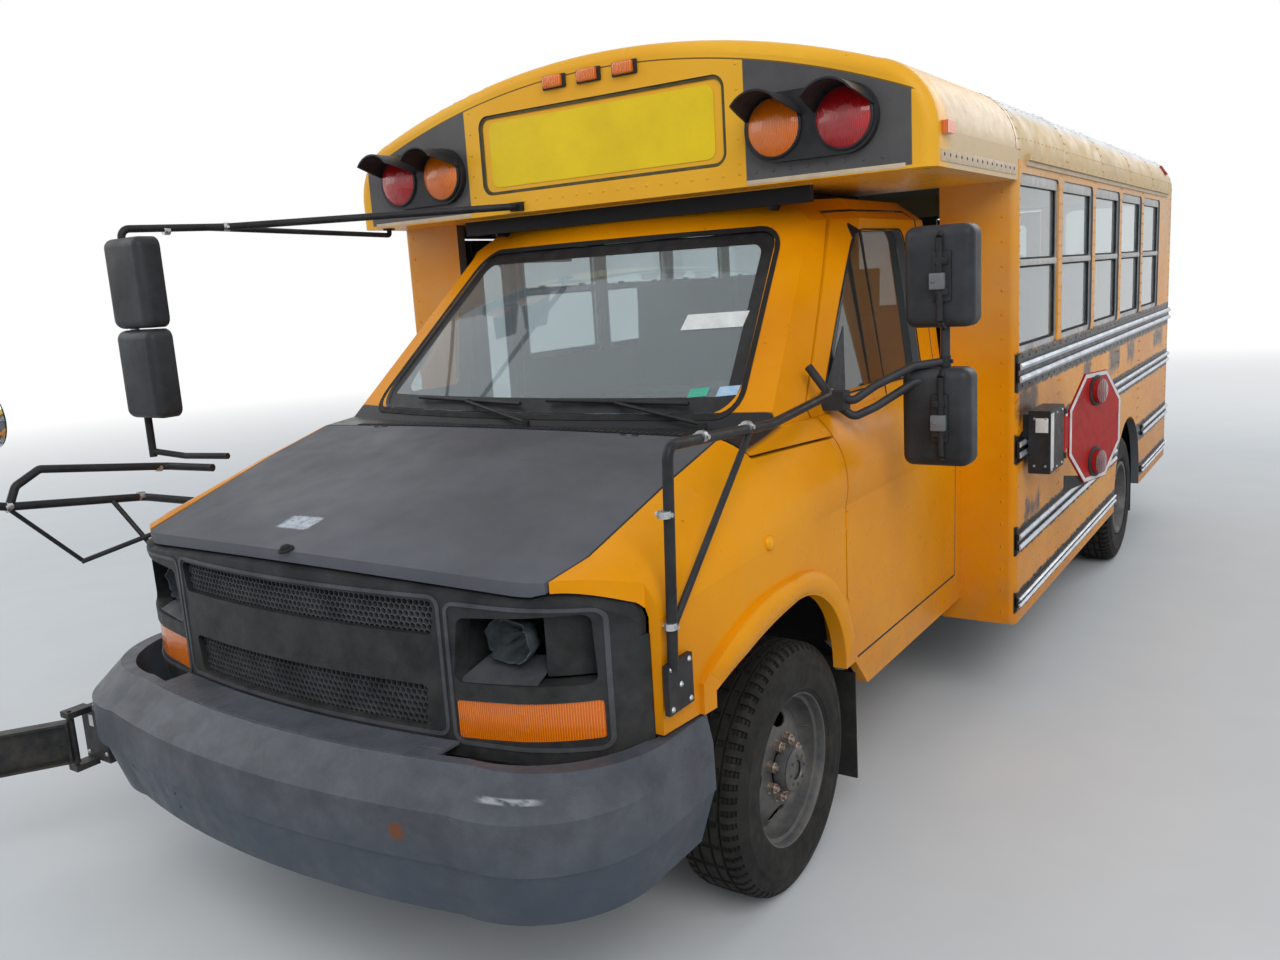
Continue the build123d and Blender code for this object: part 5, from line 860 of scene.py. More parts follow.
def add_roof_band(bm, y, width, thick):
    """A sheet strap over the whole roof."""
    rows = []
    for at, normal in roof_line():
        rows.append([bm.verts.new(at + normal * thick + Vector((0, y + shift, 0)))
                     for shift in (-width / 2, width / 2)])
    edges = [bm.edges.new((a[end], b[end])) for end in (0, 1) for a, b in zip(rows, rows[1:])]
    made = bmesh.ops.bridge_loops(bm, edges=edges)["faces"]
    face_out(bm, made)
    bmesh.ops.solidify(bm, geom=made, thickness=thick * 0.98)


def make_roof_details():
    """Sheet seams and rivets of the roof, louvres of its vent and the drip moulding."""
    seams = bmesh.new()
    rivets = bmesh.new()
    for i in range(6):
        y = LEFT_FRONT_Y + 0.02 + i * (REAR_Y - LEFT_FRONT_Y - 0.04) / 5
        add_roof_band(seams, y, 0.036, 0.0012)
        for at, normal in roof_line():
            for shift in (-0.010, 0.010):
                add_rivet(rivets, at + normal * 0.0012 + Vector((0, y + shift, 0)), normal, 0.0045, 0.002, 6)
    for side in SIDES:
        for share, pitch in ((0.14, 0.062), (0.62, 0.09)):
            at, normal = roof_flank(share, side)
            add_rivet_row(rivets, (at.x, LEFT_FRONT_Y + 0.08, at.z), (at.x, REAR_Y - 0.08, at.z), pitch,
                          normal, 0.0045, 0.0022, 6)
        x = side * 1.235
        add_rivet_row(rivets, (x, LEFT_FRONT_Y + 0.16, 2.163), (x, REAR_Y - 0.26, 2.163), 0.125,
                      (side, 0, 0), 0.005, 0.002, 6)
    settle("roof_seams", seams, "roof", "bus")
    settle("roof_rivets", rivets, "roof", "bus", 0)
    vent = bmesh.new()
    for i in range(9):
        y = -0.39 + i * 0.024
        for side in SIDES:
            add_block(vent, (side * 0.142, y, 2.612), (side * 0.1515, y + 0.012, 2.64), 0.0015)
    add_block(vent, (-0.12, -0.39, 2.650), (0.12, -0.17, 2.6518), 0.0008)
    settle("roof_vent_louvres", vent, "roof", "bus")
    # drip moulding's lower step
    drip = bmesh.new()
    for side in SIDES:
        add_side_block(drip, side, (BODY_HALF - 0.001, LEFT_FRONT_Y + 0.12, 2.132),
                       (BODY_HALF + 0.0075, REAR_Y - 0.22, 2.153), 0.003)
    settle("drip_moulding", drip, "drip", "bus")


RAIL_SPANS = [(1.325, 1.41), (1.035, 1.11), (0.668, 0.746), (0.437, 0.488)]


def clear_of_rails(z):
    """True at heights between the rub rails."""
    return all(z < low - 0.008 or z > high + 0.008 for low, high in RAIL_SPANS)


def on_side(y, z, side):
    """True where the side wall is a plain sheet."""
    if side < 0 and y < LEFT_FRONT_Y + 0.01:
        return y < -1.345
    if hypot(y - REAR_AXLE_Y, z - 0.43) < 0.45 or (abs(y - REAR_AXLE_Y) < 0.45 and z < 0.43):
        return False
    return not (side > 0 and abs(y + 0.51) < 0.12 and 1.1 < z < 1.21)


def make_side_rivets():
    """Rivets of the walls' posts and rails, of the rear wall and of the bulkheads."""
    large = (0.0055, 0.0026, 7)
    bm = bmesh.new()
    for side in SIDES:
        x = side * BODY_HALF
        columns = [LEFT_FRONT_Y + i * WINDOW_PITCH + shift for i in range(1, 5) for shift in (-0.021, 0.021)]
        columns += [LEFT_FRONT_Y + 0.028 if side < 0 else LEFT_FRONT_Y + 0.036, REAR_Y - 0.05]
        columns += [-1.368] if side < 0 else []
        for y in columns:
            for point in along((x, y, 0.41), (x, y, 2.125), 0.057):
                if clear_of_rails(point.z) and on_side(y, point.z, side):
                    add_rivet(bm, point, (side, 0, 0), *large)
        for z in (0.395, 0.50, 0.655, 0.758, 1.022, 1.122, 1.312, 1.424):
            for point in along((x, LEFT_FRONT_Y + 0.09, z), (x, REAR_Y - 0.09, z), 0.107):
                if on_side(point.y, z, side):
                    add_rivet(bm, point, (side, 0, 0), 0.0045, 0.002, 6)
    for side in SIDES:
        for z in (0.9, 1.0, 1.1, 1.2, 1.3):
            for x in (0.48, 0.8, 1.12):
                add_rivet(bm, (side * x, REAR_Y, z), (0, 1, 0), *large)
        x = side * 1.14
        add_rivet_row(bm, (x, REAR_Y, 0.76), (x, REAR_Y, 2.12), 0.07, (0, 1, 0), *large)
    settle("side_rivets", bm, "side", "bus", 0)
    front = bmesh.new()
    for x, y in ((1.165, LEFT_FRONT_Y), (-1.165, RIGHT_FRONT_Y)):
        add_rivet_row(front, (x, y, 0.42), (x, y, 2.04), 0.09, (0, -1, 0), *large)
    settle("bulkhead_rivets", front, "rear", "bus", 0)


def make_cap_details():
    """Rivets, side strips, sign edge and blank sheet of the front cap, black walls under it as painted shade
    of the gap, and its strap.
    """
    ahead = (0, -1, 0)
    rivets = bmesh.new()
    add_rivet_row(rivets, (-1.06, CAP_FACE_Y, 2.118), (1.06, CAP_FACE_Y, 2.118), 0.0605,
                  ahead, 0.0062, 0.003, 8)
    for side in SIDES:
        x = side * 0.575
        add_rivet_row(rivets, (x, CAP_FACE_Y, 2.15), (x, CAP_FACE_Y, 2.46), 0.077, ahead, 0.005, 0.0025, 8)
    settle("cap_rivets", rivets, "cap", "bus", 0)
    strips = bmesh.new()
    holes = bmesh.new()
    front, rear = CAP_FACE_Y + 0.052, LEFT_FRONT_Y - 0.03
    for side in SIDES:
        add_side_block(strips, side, (BODY_HALF - 0.001, front, 2.092),
                       (BODY_HALF + 0.0025, rear, 2.128), 0.001)
        # painted shade: dark brown studs along the strip stand for the shade in its holes
        x = side * (BODY_HALF + 0.0025)
        add_rivet_row(holes, (x, front + 0.03, 2.113), (x, rear - 0.03, 2.113), 0.058,
                      (side, 0, 0), 0.0062, 0.0015, 8)
        add_side_block(strips, side, (0.60, CAP_FACE_Y - 0.0012, 2.079), (1.13, CAP_FACE_Y, 2.094), 0.0005)
    settle("cap_strips", strips, "drip", "bus")
    settle("cap_strip_hole_shade", holes, "rust", "bus", 0)

    middle = facing_end(0, CAP_FACE_Y + 0.0099, 2.295)
    edge = bmesh.new()
    add_ring(edge, rectangle(1.056, 0.288), 0.044, 0.011, 0.004, middle)
    settle("sign_edge", edge, "sign_edge", "bus")
    sheet = bmesh.new()
    add_plate(sheet, rectangle(0.97, 0.236), 0.03, 0.0025, middle)
    settle("sign_sheet", sheet, "sign_sheet", "bus")
    # black walls between the cab's roof and the cap: painted shade, dark sheets for the shade in the gap
    walls = bmesh.new()
    for side in SIDES:
        add_side_block(walls, side, (0.600, -1.495, 2.005), (0.610, -0.71, 2.072), 0.001)
    settle("cab_roof_gap_shade", walls, "black", "bus")
    # strap over the joint between cap and roof
    strap = bmesh.new()
    add_roof_band(strap, LEFT_FRONT_Y - 0.012, 0.03, 0.0014)
    settle("cap_joint_strap", strap, "cap", "bus")


def rectangle(width, height):
    """The corners of a rectangle about the local origin."""
    w, h = width / 2, height / 2
    return [(-w, -h), (w, -h), (w, h), (-w, h)]


def add_face(bm, points, corner=0.0, steps=5):
    """One flat face on the local XY plane, its corners rounded."""
    before = set(bm.faces)
    verts = [bm.verts.new((x, y, 0)) for x, y in points]
    bm.faces.new(verts)
    if corner:
        bevel(bm, verts, corner, steps, "VERTICES")
    return next(f for f in bm.faces if f not in before)


def thicken(bm, faces, thick, place):
    """Raises flat faces along the local Z and puts them in place."""
    faces = list(faces)
    verts = points_of(faces)
    if thick:
        for face in faces:
            face.normal_update()
            if face.normal.z > 0:
                face.normal_flip()
        verts = list(dict.fromkeys(verts + raise_faces(bm, faces, (0, 0, thick))))
        face_out(bm, faces_at(verts))
    else:
        for face in faces:
            face.normal_update()
            if face.normal.z < 0:
                face.normal_flip()
    bmesh.ops.transform(bm, matrix=place, verts=verts)
    return verts


def add_plate(bm, points, corner, thick, place):
    """A thin plate whose face looks along the place's Z."""
    return thicken(bm, [add_face(bm, points, corner)], thick, place)


def add_ring(bm, points, corner, band, thick, place, cuts=0):
    """A flat ring, band wide, inside an outline."""
    before = set(bm.faces)
    face = add_face(bm, points, corner, 6)
    made = bmesh.ops.inset_region(bm, faces=[face], thickness=band, use_even_offset=True,
                                  use_boundary=True)["faces"]
    bmesh.ops.delete(bm, geom=[face], context="FACES_ONLY")
    if cuts:
        longer = [e for e in edges_of(made) if e.calc_length() > max(0.1, band * 1.6)]
        bmesh.ops.subdivide_edges(bm, edges=longer, cuts=cuts, use_grid_fill=True)
        made = [f for f in bm.faces if f not in before]
    return thicken(bm, made, thick, place)


# How lay_on looks for a surface: sideways steps and their number, start of the ray, and how near is right
STEP = 0.004
STEPS = 16
REACH = 0.6
NEAR = 0.05


def lay_on(verts, node, way, lift, about=None, centre=None, pull=1):
    """Moves points along a direction onto a CAD node's surface, and lifts them off it.

    about gives where the surface should be. A point that lands elsewhere steps toward the centre, or away
    from it with pull -1, and takes the place that about gives where no step helps.
    """
    way = Vector(way).normalized()
    for vert in verts:
        step = Vector((0, 0, 0))
        if centre:
            step = Vector(centre) - vert.co
            step = (step - way * step.dot(way)).normalized() * STEP * pull
        for i in range(STEPS):
            start = vert.co + step * i
            hit, at = touch(node, start - way * REACH, way)[:2]
            if hit and (about is None or abs((at - about(start)).dot(way)) < NEAR):
                vert.co = at - way * lift
                break
        else:
            if about:
                vert.co = about(vert.co) - way * lift


def windshield_at(at):
    """Where the windshield's plane is at a height and distance from the middle."""
    rise = (at.z - WINDSHIELD_SILL_Z) / WINDSHIELD_HEIGHT
    middle = -2.23 + rise * 0.685
    corner = -2.11 + rise * 0.655
    return Vector((at.x, middle + (corner - middle) * (at.x / (0.88 - 0.145 * rise)) ** 2, at.z))


def door_at(at):
    """Where the driver's door's leaning upper part is at a height."""
    return Vector((0.938 - (at.z - WINDSHIELD_SILL_Z) * 0.1216, at.y, at.z))


def make_window_details():
    """Glazing seals, header strips and latches of the side windows."""
    seals = bmesh.new()
    headers = bmesh.new()
    latches = bmesh.new()
    for side in SIDES:
        for i in range(5):
            y = LEFT_FRONT_Y + (i + 0.5) * WINDOW_PITCH
            for z, height in ((1.615, 0.305), (1.9355, 0.294)):
                place = facing_side(side, (side * 1.2012, y, z))
                add_ring(seals, rectangle(0.594, height), 0.024, 0.009, 0.006, place)
            add_side_block(headers, side, (1.2105, y - 0.296, 2.062), (1.2135, y + 0.296, 2.0995), 0.001)
            add_side_block(headers, side, (1.2105, y - 0.3, 1.766), (1.216, y + 0.3, 1.790), 0.002)
            for latch in (y - 0.17, y + 0.17):
                add_side_block(latches, side, (1.172, latch - 0.025, 1.789),
                               (1.183, latch + 0.025, 1.806), 0.003)
    settle("window_seals", seals, "seal", "bus", 30)
    settle("window_headers", headers, "header", "bus")
    settle("window_latches", latches, "plastic", "bus")


def make_windshield_details():
    """Rubber seal, printed black border and blank labels of the windshield."""
    shape = [(-0.762, 1.393), (0.762, 1.393), (0.642, 1.94), (-0.642, 1.94)]
    ahead = facing_end(0, -2.9, 0)
    border = bmesh.new()
    verts = add_ring(border, shape, 0.07, 0.046, 0, ahead, 14)
    lay_on(verts, "side_glass", (0, 1, 0), 0.0012, windshield_at, (0, 0, 1.66))
    settle("windshield_border", border, "black", "bus", 0)
    seal = bmesh.new()
    wide = [(-0.781, 1.380), (0.781, 1.380), (0.658, 1.955), (-0.658, 1.955)]
    verts = add_ring(seal, wide, 0.082, 0.0165, 0, ahead, 14)
    lay_on(verts, "cab_shell", (0, 1, 0), 0.0035, windshield_at, (0, 0, 1.66), -1)
    face_out(seal)
    solidify(seal, 0.003)
    settle("windshield_seal", seal, "seal", "bus", 60)
    for name, finish, x0, x1, z0, z1 in (("label_white", "white", 0.455, 0.660, 1.632, 1.679),
                                         ("label_green", "label_green", 0.583, 0.643, 1.438, 1.462),
                                         ("label_blue", "label_blue", 0.672, 0.735, 1.440, 1.466)):
        bm = bmesh.new()
        points = [(x0, z0), (x1, z0 + 0.004), (x1, z1 + 0.004), (x0, z1)]
        verts = [bm.verts.new((x, -2.9, z)) for x, z in points]
        bm.faces.new(verts)
        bmesh.ops.subdivide_edges(bm, edges=bm.edges[:], cuts=6, use_grid_fill=True)
        lay_on(bm.verts, "side_glass", (0, 1, 0), 0.0015, windshield_at)
        settle(name, bm, finish, "bus", 0)


def make_cowl_details():
    """Louvres of the panel below the windshield."""
    bm = bmesh.new()
    for i in range(60):
        x = -0.66 + i * 0.0225
        verts = add_block(bm, (x, -2.262, 1.5), (x + 0.012, -2.236 + 0.02 * x * x, 1.503), 0.0006)
        heights = [v.co.z - 1.5 for v in verts]
        hit, at = touch("cab_shell", (x + 0.006, -2.25, 1.6), (0, 0, -1))[:2]
        if hit:
            for vert, height in zip(verts, heights):
                vert.co.z = at.z + height
    settle("cowl_louvres", bm, "plastic", "bus")


def make_door_details():
    """Window seal, corner panel, handle and lock of the driver's door."""
    points = [(-1.802, 1.405), (-0.923, 1.393), (-0.933, 1.929), (-1.374, 1.925)]
    bm = bmesh.new()
    side_on = Matrix(((0, 0, 1, 1.3), (1, 0, 0, 0), (0, 1, 0, 0), (0, 0, 0, 1)))
    verts = add_ring(bm, points, 0.05, 0.016, 0, side_on, 10)
    lay_on(verts, "driver_door", (-1, 0, 0), 0.0032, door_at, (0, -1.36, 1.65), -1)
    face_out(bm)
    solidify(bm, 0.003)
    settle("door_window_seal", bm, "seal", "driver_door", 60)
    # black panel in the window's front lower corner
    bm = bmesh.new()
    verts = add_plate(bm, [(-1.80, 1.404), (-1.66, 1.402), (-1.60, 1.62)], 0.008, 0, side_on)
    lay_on(verts, "driver_door", (-1, 0, 0), 0.0032, door_at, (0, -1.85, 1.36))
    solidify(bm, 0.003)
    settle("door_corner_panel", bm, "plastic", "driver_door", 60)

    bm = bmesh.new()
    x = 1.0135
    add_block(bm, (x - 0.012, -0.965, 1.198), (x + 0.004, -0.815, 1.262), 0.006)
    add_block(bm, (x, -0.955, 1.212), (x + 0.026, -0.845, 1.236), 0.008)
    add_rod(bm, (x - 0.003, -0.829, 1.215), (x + 0.0065, -0.829, 1.215), 0.011, 16)
    settle("door_handle", bm, "plastic", "driver_door")


# Tubes of the mirror arms, and the mirror heads: the body that carries each, and its middle
TUBE_R = 0.013
MIRRORS = (("driver_door", 1.225, -1.56, 1.755), ("driver_door", 1.213, -1.56, 1.330),
           ("bus", -1.182, -2.662, 1.892), ("bus", -1.182, -2.662, 1.585))


def add_clamp(bm, at, axis, radius=TUBE_R, width=0.022):
    """A band round a tube with its two screws."""
    axis = Vector(axis).normalized()
    at = Vector(at)
    add_rod(bm, at - axis * width / 2, at + axis * width / 2, radius + 0.0025, 20)
    across = axis.cross(Vector((0, 0, 1)) if abs(axis.z) < 0.7 else Vector((0, 1, 0))).normalized()
    for way in SIDES:
        foot = at + across * way * radius
        add_rod(bm, foot, foot + across * way * 0.009, 0.006, 6)


def make_mirror_details():
    """Mirror glasses with their rims, brackets and clamps."""
    glasses = {"bus": bmesh.new(), "driver_door": bmesh.new()}
    rims = {"bus": bmesh.new(), "driver_door": bmesh.new()}
    for body, x, y, z in MIRRORS:
        rear = facing_end(x, y, z, 1)
        add_plate(glasses[body], rectangle(0.182, 0.272), 0.022, 0.0015, rear)
        add_ring(rims[body], rectangle(0.206, 0.296), 0.03, 0.011, 0.0045, rear)
        add_ring(rims[body], rectangle(0.208, 0.298), 0.033, 0.004, 0.003, facing_end(x, y - 0.0355, z))
    for body in glasses:
        settle(body + "_mirror_glass", glasses[body], "mirror_glass", body, 30)
        settle(body + "_mirror_rims", rims[body], "plastic", body, 30)

    straps = bmesh.new()
    for body, x, y, z in MIRRORS[:2]:
        add_block(straps, (x - 0.012, -1.652, z - 0.075), (x + 0.044, -1.628, z + 0.075), 0.006)
        for shift in (-0.045, 0.045):
            add_block(straps, (x - 0.006, -1.66, z + shift - 0.011),
                      (x + 0.036, -1.612, z + shift + 0.011), 0.003)
    for z in (1.50, 1.45):
        add_clamp(straps, (1.235, -1.6, z), (0, 0, 1), 0.014, 0.034)
    settle("door_mirror_brackets", straps, "black", "driver_door")

    clamps = bmesh.new()
    up = (0, 0, 1)
    for at, axis in (((-1.222, -2.535, 2.0705), (-0.12, -0.98, 0)), ((-1.25, -2.686, 1.98), up),
                     ((-1.25, -2.686, 1.745), up), ((-1.25, -2.686, 1.50), up),
                     ((-1.18, -2.32, 2.082), (-0.3, -0.95, 0))):
        add_clamp(clamps, at, axis)
    for at, axis in (((1.0036, -2.689, 1.429), (0, 1, -0.05)), ((1.0, -2.456, 1.4185), (0, 1, -0.05)),
                     ((1.0, -2.862, 1.28), up), ((1.0, -2.862, 1.02), up)):
        add_clamp(clamps, at, axis, width=0.016)
    for at, axis in (((-1.126, -2.75, 1.27), (-0.02, -0.9, 0.15)), ((-1.12, -2.83, 1.185), (0, -0.9, 0.1)),
                     ((-1.15, -3.24, 1.232), (0, 0.3, 0.1))):
        add_clamp(clamps, at, axis)
    settle("tube_clamps", clamps, "bare", "bus", 35)


def make_stop_arm_details():
    """White borders, lamps and guard of the stop arm, and the labels and bolts of its case."""
    hx, hy = STOP_HINGE
    swing = (Matrix.Translation((hx, hy, 0)) @ Matrix.Rotation(radians(-15), 4, "Z")
             @ Matrix.Translation((-hx, -hy, 0)))
    centre_y = hy + 0.2685
    radius = 0.2285 / cos(radians(22.5))
    edge = [(radius - 0.021, 0.0), (radius - 0.021, 0.0008), (radius - 0.004, 0.0008), (radius - 0.004, 0.0)]
    bezel = [(0.064, 0.0), (0.064, 0.005), (0.058, 0.008), (0.0515, 0.008), (0.0515, 0.002)]
    dome = [(0.0495 * sin(radians(a)), 0.0012 + 0.006 * cos(radians(a)) ** 2)
            for a in range(90, -1, -10)]
    border = bmesh.new()
    bezels = bmesh.new()
    lenses = bmesh.new()
    for side, x, tip in ((1, hx + 0.0081, hx + 0.034), (-1, hx - 0.0001, hx - 0.026)):
        flat = facing_side(side, (x, centre_y, STOP_Z)) @ Matrix.Rotation(radians(22.5), 4, "Z")
        turned(border, edge, swing @ flat, 8)
        for z in (STOP_Z - 0.15, STOP_Z + 0.15):
            turned(bezels, bezel, swing @ placed((x, centre_y, z), (side, 0, 0)))
            turned(lenses, dome, swing @ placed((tip, centre_y, z), (side, 0, 0)))
    settle("stop_border", border, "white", "stop_arm", 0)
    settle("stop_lamp_bezels", bezels, "plastic", "stop_arm", 35)
    settle("stop_lamp_lenses", lenses, "red_dark", "stop_arm", 60)

    # folded black guard under the blade
    guard = bmesh.new()
    points = [(0.0, -0.242), (0.225, -0.232), (0.195, -0.205), (0.0, -0.172)]
    add_plate(guard, points, 0.008, 0.003, swing @ facing_side(1, (hx - 0.0035, hy + 0.02, STOP_Z)))
    settle("stop_guard", guard, "black", "stop_arm", 30)

    case = bmesh.new()
    add_block(case, (hx + 0.0095, hy - 0.252, STOP_Z - 0.098),
              (hx + 0.0115, hy - 0.204, STOP_Z + 0.118), 0.0008)
    add_block(case, (BODY_HALF + 0.05, hy - 0.2615, STOP_Z + 0.046),
              (hx + 0.002, hy - 0.2595, STOP_Z + 0.102), 0.0008)
    settle("stop_case_labels", case, "white", "bus")
    bolts = bmesh.new()
    for z in (STOP_Z - 0.102, STOP_Z + 0.112):
        for y in (hy - 0.235, hy - 0.15, hy - 0.06):
            add_rivet(bolts, (hx + 0.01, y, z), (1, 0, 0), 0.006, 0.004, 6)
    for z in (STOP_Z - 0.085, STOP_Z + 0.1):
        for x in (hx - 0.05, hx - 0.008):
            add_rivet(bolts, (x, hy - 0.26, z), (0, -1, 0), 0.006, 0.004, 6)
    settle("stop_case_bolts", bolts, "bare", "bus", 0)


def make_crossing_details():
    """Blank label and bolts of the crossing arm's case and its mounting plate."""
    label = bmesh.new()
    add_block(label, (-1.152, -3.1065, 0.462), (-1.128, -3.1045, 0.502), 0.0006)
    settle("case_label", label, "white", "bus")
    bolts = bmesh.new()
    for x, z in ((-1.075, 0.375), (-1.075, 0.455), (-1.18, 0.365), (-1.18, 0.505)):
        add_rivet(bolts, (x, -3.105, z), (0, -1, 0), 0.008, 0.005, 6)
    for y in (-3.07, -3.02):
        for x in (-1.17, -1.09):
            add_rivet(bolts, (x, y, 0.52), (0, 0, 1), 0.008, 0.005, 6)
    for x in (-1.03, -0.985):
        add_rivet(bolts, (x, -3.015, 0.49), (0, -1, 0), 0.008, 0.005, 6)
    settle("case_bolts", bolts, "bare", "bus", 0)


def make_hood_details():
    """Rubber stop on the hood's front edge."""
    bm = bmesh.new()
    outline = [(0.021, 0.0), (0.021, 0.004), (0.018, 0.007), (0.0135, 0.0075), (0.0125, 0.012),
               (0.009, 0.0145), (0.0, 0.0155)]
    top, normal = touch("hood", (0.006, -3.12, 1.5), (0, 0, -1))[1:]
    turned(bm, outline, placed(top, normal), 24)
    settle("hood_stop", bm, "seal", "hood", 35)


def make_headlamp_details():
    """Broken lamp bucket in each empty socket."""
    steps = 40
    for side in SIDES:
        bm = bmesh.new()
        rim = []
        for i in range(steps):
            a = tau * i / steps
            wobble = 0.004 * sin(5 * a) + 0.003 * sin(11 * a + 1.0) + 0.002 * sin(23 * a)
            rim.append((0.066 * copysign(abs(cos(a)) ** 0.85, cos(a)),
                        0.055 * copysign(abs(sin(a)) ** 0.85, sin(a)), wobble))
        face = bm.faces.new([bm.verts.new(p) for p in rim])
        for depth, share in ((-0.014, 0.98), (-0.018, 0.95), (-0.018, 0.88), (-0.014, 0.76), (-0.008, 0.6),
                             (-0.004, 0.4)):
            made = bmesh.ops.extrude_face_region(bm, geom=[face])["geom"]
            ring = [g for g in made if isinstance(g, bmesh.types.BMVert)]
            bmesh.ops.delete(bm, geom=[face], context="FACES_ONLY")
            face = next(g for g in made if isinstance(g, bmesh.types.BMFace))
            bmesh.ops.translate(bm, vec=(0, 0, depth), verts=ring)
            bmesh.ops.scale(bm, vec=(share, share, 1), verts=ring)
        face_out(bm)
        solidify(bm, 0.003)
        place = facing_end(side * 0.648, nose_y(0.65, 0.052), 0.985)
        bmesh.ops.transform(bm, matrix=place, verts=bm.verts)
        settle("lamp_bucket_" + ("left" if side > 0 else "right"), bm, "bucket", "bus", 40)


# Front wheel opening and the outer edge of its lip, from rear foot to front end, as y from the axle and
# z from the ground
ARCH_INNER = [(0.291, 0.568), (0.205, 0.800), (-0.040, 0.903), (-0.260, 0.868), (-0.478, 0.797)]
ARCH_OUTER = [(0.381, 0.568), (0.278, 0.835), (-0.060, 0.967), (-0.300, 0.946), (-0.530, 0.832)]


def arc_point(first, middle, last, share):
    """A point on the arc through three points, from the first (0) to the last (1)."""
    a, b, c = (complex(*p) for p in (first, middle, last))
    w = (c - a) / (b - a)
    centre = a - (a - b) * (w - abs(w) ** 2) / (2j * w.imag)
    turn = cmath.phase((b - centre) / (a - centre)) + cmath.phase((c - centre) / (b - centre))
    at = centre + (a - centre) * cmath.exp(1j * turn * share)
    return at.real, at.imag


def arch_point(points, share):
    """A point of an arch's outline, from its rear foot (0) to its front end (1)."""
    if share < 0.5:
        return arc_point(*points[:3], share * 2)
    return arc_point(*points[2:], share * 2 - 1)


def make_arch_rolls():
    """Rounded roll of the front wheel openings' lips."""
    bm = bmesh.new()
    for side in SIDES:
        made = bmesh.ops.create_grid(bm, x_segments=56, y_segments=8, size=1.0)["verts"]
        for vert in made:
            share = 0.035 + 0.93 * (vert.co.x + 1) / 2
            across = (vert.co.y + 1) / 2
            inner, outer = arch_point(ARCH_INNER, share), arch_point(ARCH_OUTER, share)
            keep = 0.05 + 0.9 * across
            y = FRONT_AXLE_Y + inner[0] * (1 - keep) + outer[0] * keep
            z = inner[1] * (1 - keep) + outer[1] * keep
            hit, at = touch("fenders", (side * 1.6, y, z), (-side, 0, 0))[:2]
            x = side * at.x if hit and side * at.x > 0.9 else 0.985
            rise = 0.0006 + 0.011 * sin(pi * across) ** 0.7 * min(1.0, 10.0 * (1 - abs(vert.co.x)))
            vert.co = (side * (x + rise), y, z)
        face_out(bm, faces_at(made))
    solidify(bm, 0.001)
    settle("arch_rolls", bm, "fender", "bus", 60)


def make_bumper_details():
    """Small plugs in the lower part of the front bumper."""
    holes = bmesh.new()
    for x, z in ((-0.35, 0.50), (-0.352, 0.455), (-0.62, 0.505)):
        at, normal = touch("bumpers", (x, -4.5, z), (0, 1, 0))[1:]
        add_rivet(holes, at - normal * 0.0005, normal, 0.006, 0.0012, 10)
    settle("bumper_plugs", holes, "seal", "bus", 0)


def make_fender_details():
    """Bolts on the foot plate of the left fender frame, and the fenders' side lamps."""
    bolts = bmesh.new()
    for y, z in ((-2.87, 0.918), (-2.79, 0.918), (-2.83, 0.869), (-2.87, 0.82), (-2.79, 0.82)):
        add_rivet(bolts, (1.0, y, z), (1, 0, 0), 0.0075, 0.004, 8)
    settle("foot_plate_bolts", bolts, "bare", "bus", 0)
    lamps = bmesh.new()
    outline = [(0.021, -0.002), (0.021, 0.003), (0.017, 0.008), (0.009, 0.0105), (0.0, 0.0115)]
    for side in SIDES:
        at, normal = touch("fenders", (side * 1.6, -2.376, 1.098), (-side, 0, 0))[1:]
        turned(lamps, outline, placed(at, normal), 20)
    settle("fender_side_lamps", lamps, "marker_yellow", "bus", 60)


def make_rear_details():
    """Rings and lenses of the tail lamps, the rear door's seals and the blank number plate."""
    ring = [(0.098, 0.0), (0.098, 0.008), (0.0915, 0.011), (0.086, 0.011), (0.086, 0.002)]
    dome = [(0.0845 * sin(radians(a)), 0.012 * cos(radians(a)))
            for a in range(90, -1, -9)]
    for name, finish, outline, y, smooth in (("tail_lamp_rings", "black", ring, REAR_Y, 35),
                                             ("tail_lamp_lenses", "red", dome, REAR_Y + 0.024, 60)):
        bm = bmesh.new()
        for x in (-1.01, 1.01):
            turned(bm, outline, placed((x, y, 1.19), (0, 1, 0)), 40)
        settle(name, bm, finish, "bus", smooth)
    seals = bmesh.new()
    for low, high in ((0.88, 1.28), (1.40, 2.04)):
        place = facing_end(0, REAR_Y + 0.0015, (low + high) / 2, 1)
        add_ring(seals, rectangle(0.582, high - low + 0.028), 0.052, 0.022, 0.004, place)
    settle("rear_door_seals", seals, "seal", "rear_door", 40)
    plate = bmesh.new()
    add_plate(plate, rectangle(0.305, 0.152), 0.012, 0.0015, facing_end(0.62, REAR_Y + 0.002, 1.02, 1))
    settle("number_plate", plate, "white", "bus")


def make_entry_details():
    """Window seals of the entrance leaves."""
    for body, y0, y1 in (("entry_front", -1.322, -1.018), ("entry_rear", -1.015, -0.711)):
        bm = bmesh.new()
        for low, high in ((0.565, 1.12), (1.18, 1.922)):
            place = facing_side(-1, (-BODY_HALF + 0.0015, (y0 + y1) / 2, (low + high) / 2))
            add_ring(bm, rectangle(y1 - y0 - 0.096, high - low + 0.024), 0.045, 0.018, 0.0035, place)
        settle(body + "_seals", bm, "seal", body, 40)


# Front wheel's outline from flange to hub, as distance from the tyre's middle and radius
RIM_OUTLINE = [(0.0955, 0.2280), (0.0985, 0.2245), (0.0965, 0.2195), (0.0890, 0.2165), (0.0740, 0.2150),
               (0.0690, 0.2050), (0.0420, 0.2035), (0.0220, 0.1960), (0.0140, 0.1880)]
DISH_OUTLINE = [(0.0160, 0.1830), (0.0210, 0.1780), (0.0262, 0.1720), (0.0310, 0.1660),
                (0.0355, 0.1600), (0.0395, 0.1540), (0.0430, 0.1480), (0.0460, 0.1420), (0.0485, 0.1360),
                (0.0505, 0.1300), (0.0522, 0.1240), (0.0536, 0.1180), (0.0546, 0.1120), (0.0553, 0.1060),
                (0.0556, 0.0600)]


